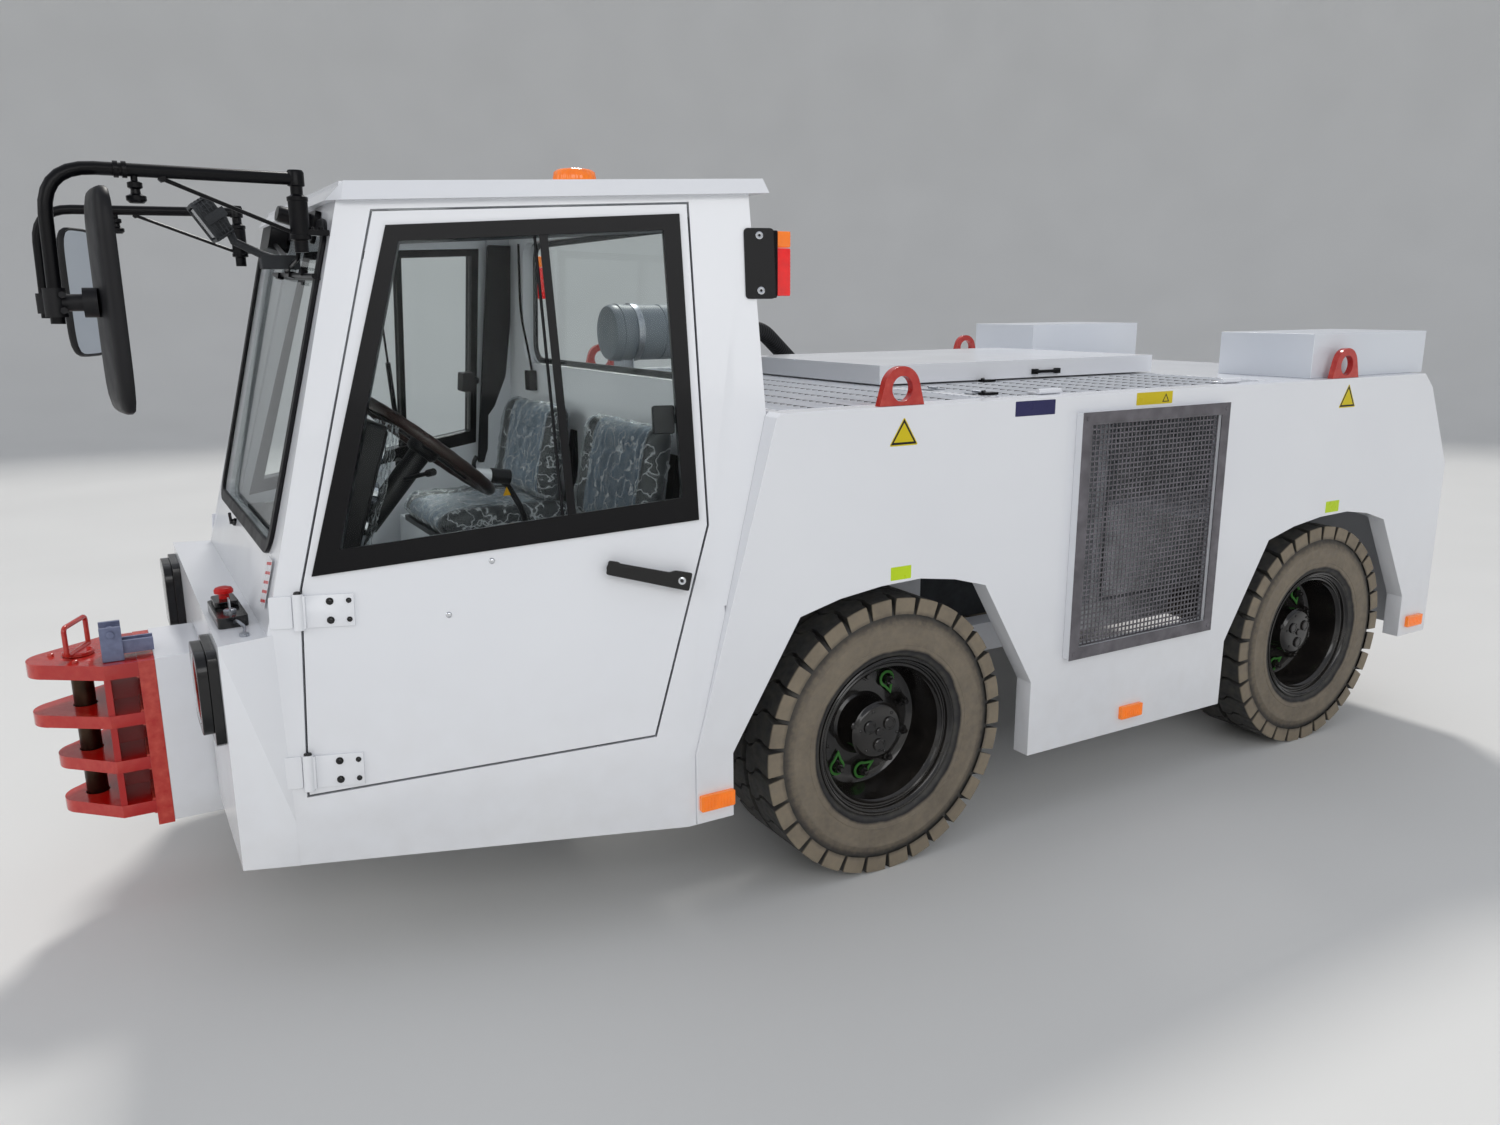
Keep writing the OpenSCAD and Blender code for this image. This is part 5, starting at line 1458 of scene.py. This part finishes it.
route = bent([spot(-0.285, -0.43, 1.358), spot(-0.42, -0.48, 1.362), spot(-0.6, -0.59, 1.255),
              spot(-0.69, -0.64, 1.196)], 0.16, 40)
steps = [0.0]
for a, b in zip(route, route[1:]):
    steps.append(steps[-1] + (b - a).length)
count = int(steps[-1] / 0.0035)
rings, bores = [], []
for k in range(count + 1):
    want = steps[-1] * k / count
    i = min(max(np.searchsorted(steps, want) - 1, 0), len(route) - 2)
    t = (want - steps[i]) / max(steps[i + 1] - steps[i], 1e-9)
    rings.append(route[i].lerp(route[i + 1], min(max(t, 0.0), 1.0)))
    bores.append(0.03 if k % 4 < 2 else 0.0268)
bm = bmesh.new()
tube(bm, rings, bores, 28)
hose = piece("air_hose", bm, hose_rubber, "tug", angle=60)
print("hose rings:", len(rings), "length", round(steps[-1], 3))

# %% [markdown]
# ## Inside the cab
# Through the door's window a steering wheel on a slanted column shows, with a pod of gauges and rocker
# switches behind it, levers, the two seats and the far pillar with its cable and gas strut. The pillars' inner
# sides are darkened by a black sheet of painted shade.

# %% Steering wheel, column and instruments
wheel_rim = moulded("brown_black_wheel_rim", "#1d1413", "#2a1b18", 0.3, 5, 0.03)
dial_face = moulded("black_dial_face", "#0b0c0e", "#121317", 0.2, 8, 0.0)
floor_rubber = moulded("ribbed_floor_rubber", "#26272b", "#303136", 0.6, 3, 0.2)
tag_yellow = moulded("yellow_tag_plastic", "#d9a413", "#cf9a10", 0.4, 4, 0.02)

wheel_turn = Matrix.Translation(spot(0.995, 0.35, 1.128)) @ Matrix.Rotation(math.radians(-40), 4, "Y")


def wheel_at(x, y, h):
    return wheel_turn @ Vector((x, y, h))


bm = bmesh.new()
angles = [2 * math.pi * k / 96 for k in range(96)]
rim_line = [wheel_at(0.178 * math.cos(a), 0.178 * math.sin(a), 0.0) for a in angles]
tube(bm, rim_line, [0.0128 + (0.0006 if k % 4 < 2 else 0.0) for k in range(96)], 16, closed=True)
piece("steering_rim", bm, wheel_rim, "tug", angle=60, replaces=["steering_wheel"])
bm = bmesh.new()
for angle in (90, 210, 330):
    a = math.radians(angle)
    place = wheel_turn @ Matrix.Rotation(a, 4, "Z")
    outline = [(0.03, -0.019), (0.06, -0.015), (0.168, -0.01), (0.168, 0.01), (0.06, 0.015), (0.03, 0.019)]
    prism(bm, outline, lambda u, v, w, place=place: place @ Vector((u, v, -0.01 + w + 0.004 * min(u / 0.17, 1))),
          0.006)
turned(bm, ((0.0, -0.028), (0.03, -0.028), (0.038, -0.02), (0.04, -0.002), (0.036, 0.006), (0.0, 0.01)), wheel_at,
       segments=40)
turned(bm, ((0.0, -0.075), (0.024, -0.075), (0.026, -0.028), (0.0, -0.028)), wheel_at, segments=28)
piece("steering_hub", bm, black_abs, "tug", bevel=0.001)

column_foot, column_head = spot(1.24, 0.35, 0.84), spot(1.03, 0.35, 1.086)
bm = bmesh.new()
tube(bm, [column_foot, column_foot.lerp(column_head, 0.45)], 0.024, 24)
tube(bm, [column_foot.lerp(column_head, 0.45), column_foot.lerp(column_head, 0.98)], 0.027, 24)
boot = [column_foot.lerp(column_head, 0.02 + 0.022 * k) for k in range(13)]
tube(bm, boot, [0.05 - 0.0015 * k + (0.004 if k % 2 else 0.0) for k in range(13)], 28)
for side, drop in ((1, 0.0), (-1, -0.012)):
    root = column_foot.lerp(column_head, 0.86)
    tube(bm, bent([root, root + Vector((-0.01, side * 0.055, 0.012 + drop)),
                   root + Vector((-0.03, side * 0.135, 0.03 + drop))], 0.03),
         0.005, 12)
    tube(bm, [root + Vector((-0.03, side * 0.135, 0.03 + drop)),
              root + Vector((-0.036, side * 0.16, 0.036 + drop))], 0.0085, 14)
piece("steering_column", bm, black_abs, "tug", angle=50, replaces=["dashboard"])

DIALS = (                                 # place, bezel radius, needle length and its turn
    (-0.062, 0.172, 0.04, 0.03, 2.2), (0.046, 0.172, 0.04, 0.03, 0.9), (0.09, 0.082, 0.026, 0.018, 1.3),
    (0.03, 0.082, 0.026, 0.018, 2.4), (-0.04, 0.082, 0.026, 0.018, 1.8),
)
pod_turn = Matrix.Translation(spot(1.175, 0.35, 0.965)) @ Matrix.Rotation(math.radians(-17.7), 4, "Y")


def pod_at(u, v, w):
    """On the instruments' face: u to the left, v up it, w towards the driver."""
    return pod_turn @ Vector((-w, u, v))


bm = bmesh.new()
prism(bm, rectangle(-0.13, 0.13, -0.065, 0.236, 0.018, 4), slid(pod_at, w=-0.05), 0.046)
piece("instrument_pod", bm, black_abs, "tug", bevel=0.004)
bm = bmesh.new()
prism(bm, rectangle(-0.12, 0.12, -0.055, 0.226, 0.012, 4), slid(pod_at, w=-0.004), 0.006)
box(bm, spot(1.181, -0.499, 0.8), spot(1.299, 0.499, 0.89))
box(bm, spot(1.2, -0.06, 0.461), spot(1.279, 0.06, 0.8))
piece("dash_shelf", bm, black_abs, "tug", bevel=0.006, replaces=["dashboard"])
bm = bmesh.new()
for u, v, radius, reach, turn_by in DIALS:
    turned(bm, ((radius - 0.004, 0.002), (radius, 0.002), (radius, 0.012), (radius - 0.003, 0.0145),
                (radius - 0.005, 0.012)),
           slid(pod_at, u=u, v=v), segments=36, closed=True)
for k in range(6):
    u = 0.098 - 0.039 * k
    frame_prism(bm, rectangle(u - 0.017, u + 0.017, -0.04, 0.018, 0.004, 2),
                rectangle(u - 0.013, u + 0.013, -0.036, 0.014, 0.003, 2),
                slid(pod_at, w=0.002), 0.006)
piece("instrument_bezels", bm, chrome, "tug", bevel=0.0005)
bm = bmesh.new()
for u, v, radius, reach, turn_by in DIALS:
    face = radius - 0.0045
    turned(bm, ((0.0, 0.002), (face, 0.002), (face, 0.006), (0.0, 0.006)), slid(pod_at, u=u, v=v), segments=32)
for k in range(6):
    u = 0.098 - 0.039 * k
    prism(bm, rectangle(u - 0.0125, u + 0.0125, -0.0355, 0.0135, 0.003, 2),
          slid(pod_at, w=0.002), 0.0075 + 0.002 * (k % 2))
piece("instrument_faces", bm, dial_face, "tug", bevel=0.001)
bm = bmesh.new()
for u, v, radius, reach, turn_by in DIALS:
    c, s = math.cos(turn_by), math.sin(turn_by)
    prism(bm, [(u - 0.0012 * s, v + 0.0012 * c), (u + 0.0012 * s, v - 0.0012 * c),
               (u + reach * c + 0.0004 * s, v + reach * s - 0.0004 * c),
               (u + reach * c - 0.0004 * s, v + reach * s + 0.0004 * c)], slid(pod_at, w=0.006), 0.0012)
piece("dial_needles", bm, plate_white, "tug")

# %% Levers, floor mat, far pillar, cable and gas strut
bm = bmesh.new()
lever = bent([spot(0.64, 0.02, 0.792), spot(0.65, 0.02, 0.88), spot(0.7, 0.02, 0.972), spot(0.74, 0.02, 0.992)],
             0.05)
tube(bm, lever, 0.0085, 14)
tube(bm, [spot(0.688, 0.02, 0.985), spot(0.742, 0.02, 0.994)], 0.021, 24)
tube(bm, bent([spot(0.782, 0.02, 1.004), spot(0.788, 0.02, 1.03), spot(0.776, 0.02, 1.05)], 0.012), 0.006, 12)
box(bm, spot(0.6, -0.03, 0.7905), spot(0.7, 0.07, 0.83))
piece("brake_lever", bm, black_abs, "tug", bevel=0.001)
bm = bmesh.new()
tube(bm, [spot(0.742, 0.02, 0.994), spot(0.788, 0.02, 1.001)], 0.018, 24)
piece("lever_collar", bm, plate_white, "tug", bevel=0.0015)
bm = bmesh.new()
prism(bm, [(-0.011, -0.011), (0.011, -0.011), (0.0, 0.013)], lambda u, v, w: spot(0.702 + u, 0.032 + w, 0.948 + v),
      0.0015)
piece("lever_tag", bm, tag_yellow, "tug")

bm = bmesh.new()
box(bm, spot(0.845, -0.56, 0.452), spot(1.19, 0.56, 0.458))
for k in range(23):
    x = 0.855 + 0.0145 * k
    box(bm, spot(x, -0.555, 0.458), spot(x + 0.006, 0.555, 0.461))
for y in (0.23, 0.42):
    place = Matrix.Translation(spot(1.17, y, 0.56)) @ Matrix.Rotation(math.radians(-38), 4, "Y")
    box(bm, (-0.004, -0.038, -0.06), (0.008, 0.038, 0.06), place)
    for k in range(6):
        box(bm, (-0.007, -0.034, -0.052 + 0.019 * k), (-0.004, 0.034, -0.046 + 0.019 * k), place)
    tube(bm, [place @ Vector((0.006, 0, 0.03)), spot(1.205, y, 0.72)], 0.0065, 10)
piece("floor_and_pedals", bm, floor_rubber, "tug", bevel=0.001)

for side, name in SIDES:
    # A black sheet inside each pillar: painted shade on the pillar's inner side.
    bm = bmesh.new()
    pillar = on_side(side, 0.5, 1.25)
    inner = slid(pillar, w=-0.0505)
    prism(bm, rounded([(-0.055, -0.33), (0.03, -0.33), (0.025, 0.4), (-0.095, 0.4)], 0.01, 3), inner, 0.006)
    piece(f"pillar_trim_{name}", bm, black_abs, "tug", bevel=0.0015)
bm = bmesh.new()
tube(bm, bent([spot(0.404, -0.629, 1.64), spot(0.405, -0.64, 1.42), spot(0.406, -0.575, 1.3),
               spot(0.407, -0.548, 1.236)], 0.12),
     0.0038, 10)
piece("roof_cable", bm, seal_rubber, "tug")
bm = bmesh.new()
box(bm, spot(0.4012, -0.566, 1.176), spot(0.4262, -0.52, 1.24))
piece("cable_box", bm, gloss_abs, "tug", bevel=0.002)
bm = bmesh.new()
top, foot = spot(0.865, -0.585, 1.414), spot(0.829, -0.645, 1.082)
tube(bm, [top, top.lerp(foot, 0.45)], 0.0035, 12)
tube(bm, [top.lerp(foot, 0.42), foot], 0.008, 16)
for end in (top, foot):
    tube(bm, [end + Vector((0, 0.009, 0)), end + Vector((0, -0.012, 0))], 0.007, 14)
piece("window_strut", bm, satin_black, "door_r")

# %% [markdown]
# ## Seats
# A seat is foam under fabric, so its shape comes from a small cloth simulation: the plain shape is remeshed to
# even quads, its seams and underside are pinned, and pressure blows the rest out between them. A clear film
# still covers the new seats. It is a copy of the padded surface, pushed out and crinkled.

# %% Padded seats
def fabric():
    """Woven blue-grey seat cloth."""
    made, tree, shader = finish("blue_grey_woven_fabric", Sheen_Weight=0.25, Sheen_Roughness=0.5)
    weave = add(tree, "ShaderNodeTexWave", values={"Scale": 420.0, "Distortion": 1.5})
    place = add(tree, "ShaderNodeTexCoord").outputs["Object"]
    tree.links.new(place, weave.inputs["Vector"])
    tree.links.new(blend_of(tree, lumps(tree, 30, 0.0, 1.0), "#41596e", "#34485b"), shader.inputs["Base Color"])
    tree.links.new(lumps(tree, 8, 0.7, 0.9), shader.inputs["Roughness"])
    relief(tree, shader, weave.outputs["Color"], 0.15)
    return made


def vinyl():
    """Black grained vinyl for the bolsters."""
    made, tree, shader = finish("black_grained_vinyl", IOR=1.5)
    tree.links.new(blend_of(tree, lumps(tree, 40, 0.0, 1.0), "#111114", "#1a1a1f"), shader.inputs["Base Color"])
    tree.links.new(lumps(tree, 18, 0.38, 0.52), shader.inputs["Roughness"])
    relief(tree, shader, lumps(tree, 2.2, 0.0, 1.0), 0.12)
    return made


seat_fabric, seat_vinyl = fabric(), vinyl()
BOLSTER = 0.16                           # half width of the fabric panel between the bolsters
PRESSURE = 8.0                            # fills the foam out by 3 to 4 mm between its seams


def padded_shape(long, wide, thick, swell):
    """A closed pad: x along it, y across, z up from 0, with raised sides and rounded edges."""
    bm = bmesh.new()
    nx, ny = 28, 30
    grids = []
    for top in (0, 1):
        grid = []
        for i in range(nx + 1):
            line = []
            for j in range(ny + 1):
                s, t = i / nx * 2 - 1, j / ny * 2 - 1
                edge = (max(0.0, 1 - abs(s) ** 7) * max(0.0, 1 - abs(t) ** 9)) ** 0.45
                across = abs(t) * wide / 2
                raised = swell * min(max((across - BOLSTER) / 0.025, 0.0), 1.0)
                z = thick * 0.5 + (thick * 0.5 + raised) * edge if top else thick * 0.5 * (1 - edge)
                line.append(bm.verts.new((s * long / 2, t * wide / 2, z)))
            grid.append(line)
        grids.append(grid)
    for grid in grids:
        for i in range(nx):
            for j in range(ny):
                bm.faces.new((grid[i][j], grid[i + 1][j], grid[i + 1][j + 1], grid[i][j + 1]))
    bmesh.ops.remove_doubles(bm, verts=bm.verts, dist=1e-5)
    bmesh.ops.recalc_face_normals(bm, faces=bm.faces)
    return bm


def blown(name, bm, held, reach=0.022, voxel=0.0065, steps=20):
    """Remeshes a pad and lets pressure fill it out. `held(point)` says where it stays. Returns a mesh."""
    mesh = as_mesh(bm, name)
    pad = bpy.data.objects.new(name, mesh)
    bpy.context.collection.objects.link(pad)
    remesh = pad.modifiers.new("even", "REMESH")
    remesh.mode, remesh.voxel_size = "VOXEL", voxel
    graph = bpy.context.evaluated_depsgraph_get()
    even = bpy.data.meshes.new_from_object(pad.evaluated_get(graph))
    pad.modifiers.clear()
    pad.data = even
    start = np.array([v.co[:] for v in even.vertices])
    group = pad.vertex_groups.new(name="held")
    group.add([i for i, p in enumerate(start) if held(p)], 1.0, "REPLACE")
    cloth = pad.modifiers.new("cloth", "CLOTH")
    rules = cloth.settings
    rules.quality, rules.mass = 5, 0.3
    rules.tension_stiffness = rules.compression_stiffness = 15.0
    rules.shear_stiffness, rules.bending_stiffness = 5.0, 0.5
    rules.use_pressure, rules.uniform_pressure_force = True, PRESSURE
    rules.vertex_group_mass = "held"
    rules.effector_weights.gravity = 0.0
    cloth.collision_settings.use_collision = False
    cloth.point_cache.frame_start, cloth.point_cache.frame_end = 1, steps
    for frame_number in range(1, steps + 1):
        bpy.context.scene.frame_set(frame_number)
    graph = bpy.context.evaluated_depsgraph_get()
    filled = bpy.data.meshes.new_from_object(pad.evaluated_get(graph))
    moved = np.array([v.co[:] for v in filled.vertices]) - start
    far = np.linalg.norm(moved, axis=1)
    moved *= np.minimum(1.0, reach / np.maximum(far, 1e-9))[:, None]
    filled.vertices.foreach_set("co", (start + moved).ravel())
    filled.update()
    bpy.context.scene.frame_set(1)
    print(name, "points", len(start), "moved at most", round(float(far.max()), 4))
    bpy.data.objects.remove(pad)
    return filled


def crease(point, lines):
    """Whether a point is on one of the seams: (axis, place) pairs, each 9 mm wide."""
    return any(abs(abs(point[axis]) - where) < 0.0045 for axis, where in lines)


PADS = (
    ("cushion", 0.395, 0.43, 0.07, 0.018, Matrix.Translation((0.65, 0, 0.8)), ((1, BOLSTER), (0, 0.075))),
    ("back", 0.275, 0.43, 0.062, 0.02,
     Matrix.Translation((0.52, 0, 0.88)) @ Matrix.Rotation(math.radians(-12), 4,
                                                           "Y") @ Matrix.Translation((-0.03, 0, 0.142)) @
     Matrix.Rotation(math.radians(90), 4, "Y") @ Matrix.Rotation(math.radians(180), 4, "Z"),
     ((1, BOLSTER), (0, 0.06))),
)
seat_forms = {}
for part, long, wide, thick, swell, local, lines in PADS:
    def stays(p, thick=thick, lines=lines):
        return p[2] < 0.01 or (p[2] > thick * 0.8 and crease(p, lines))
    seat_forms[part] = blown(f"pad_{part}", padded_shape(long, wide, thick, swell), stays)

for seat, y in SEAT_PLACES:
    for part, long, wide, thick, swell, local, lines in PADS:
        bm = bmesh.new()
        bm.from_mesh(seat_forms[part])
        for face in bm.faces:
            middle = face.calc_center_median()
            face.material_index = 1 if abs(middle.y) > BOLSTER or middle.z < thick * 0.35 else 0
        bm.transform(Matrix.Translation((AXLE_X, y, 0)) @ local)
        made = piece(f"seat_{part}_{seat}", bm, [seat_fabric, seat_vinyl], "tug", angle=80, replaces=["seats"])
        smooth = made.modifiers.new("smooth", "SUBSURF")
        smooth.levels = smooth.render_levels = 1
    bm = bmesh.new()
    box(bm, spot(0.45, y - 0.205, 0.7905), spot(0.85, y + 0.205, 0.808))
    for side in (-0.12, 0.12):
        box(bm, spot(0.425, y + side - 0.02, 0.8), spot(0.446, y + side + 0.02, 1.08),
            Matrix.Translation(spot(0.44, 0, 0.8)) @ Matrix.Rotation(math.radians(-8), 4,
                                                                     "Y") @ Matrix.Translation(-spot(0.44, 0, 0.8)))
    piece(f"seat_frame_{seat}", bm, satin_black, "tug", bevel=0.002)
print("seats done")

# %% Clear film over the seats
def film():
    """Thin clear film: seen through, with painted glints, near-white streaks where thin noise lines make it partly
    opaque.
    """
    made, tree, shader = finish("clear_crinkled_film_painted_glints", IOR=1.45, Specular_IOR_Level=0.9,
                                Base_Color=linear("#eef2f6"), Roughness=0.07)
    folds = lumps(tree, 30, 0.0, 1.0, detail=4.0, spread=0.12)
    relief(tree, shader, folds, 4.0)
    facing = add(tree, "ShaderNodeLayerWeight", values={"Blend": 0.3})
    # Painted glints: along thin lines of this noise the film turns partly opaque and near white.
    line = lumps(tree, 56, -1.0, 1.0, detail=2.2, spread=0.25)
    away = add(tree, "ShaderNodeMath", operation="ABSOLUTE", links={0: line})
    painted_glint = add(tree, "ShaderNodeMapRange", links={0: away.outputs[0]}, values={1: 0.0, 2: 0.11, 3: 0.38, 4: 0.02})
    amount = add(tree, "ShaderNodeMath", operation="ADD", links={0: facing.outputs["Fresnel"], 1: painted_glint.outputs[0]})
    amount = add(tree, "ShaderNodeMath", operation="MINIMUM", links={0: amount.outputs[0]}, values={1: 0.75})
    through = add(tree, "ShaderNodeBsdfTransparent", values={0: linear("#f6f9fb")})
    mix = add(tree, "ShaderNodeMixShader",
              links={0: amount.outputs[0], 1: through.outputs[0], 2: shader.outputs[0]})
    tree.links.new(mix.outputs[0], tree.nodes["Material Output"].inputs[0])
    return made


clear_film = film()


def declared_film(name, bm, wide):
    area = sum(face.calc_area() for face in bm.faces)
    made = piece(name, bm, clear_film, "tug", angle=180, outward=False)
    print(name, "cut", wide, "by", round(area / wide, 3))


for seat, y in SEAT_PLACES:
    for part, long, wide, thick, swell, local, lines in PADS:
        layer = bmesh.new()
        layer.from_mesh(seat_forms[part])
        gone = [v for v in layer.verts if v.co.z < 0.012]
        bmesh.ops.delete(layer, geom=gone, context="VERTS")
        layer.normal_update()
        for vert in layer.verts:
            where = vert.co * 22 + Vector((y * 31, 0, 0))
            fold = abs(noise.noise(where)) + 0.5 * abs(noise.noise(where * 2.3))
            vert.co += vert.normal * (0.0025 + 0.011 * (0.6 - min(fold, 0.6)))
        layer.transform(Matrix.Translation((AXLE_X, y, 0)) @ local)
        declared_film(f"film_{part}_{seat}", layer, 0.56)

bm = bmesh.new()
lines = []
for i in range(49):
    line = []
    for j in range(61):
        u, v = -0.134 + 0.268 * i / 48, -0.068 + 0.308 * j / 60
        where = Vector((u * 34, v * 34, 3.0))
        fold = abs(noise.noise(where)) + 0.5 * abs(noise.noise(where * 2.1))
        line.append(bm.verts.new(pod_at(u, v, 0.0185 + 0.013 * (0.6 - min(fold, 0.6)))))
    lines.append(line)
for i in range(48):
    for j in range(60):
        bm.faces.new((lines[i][j], lines[i + 1][j], lines[i + 1][j + 1], lines[i][j + 1]))
declared_film("instrument_film", bm, 0.3)
print("film done")

# %% [markdown]
# ## Size and end
# The dressed vehicle's box is measured and printed.

# %% End
low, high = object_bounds()
print("visual box", [round(v, 3) for v in (*low, *high)])
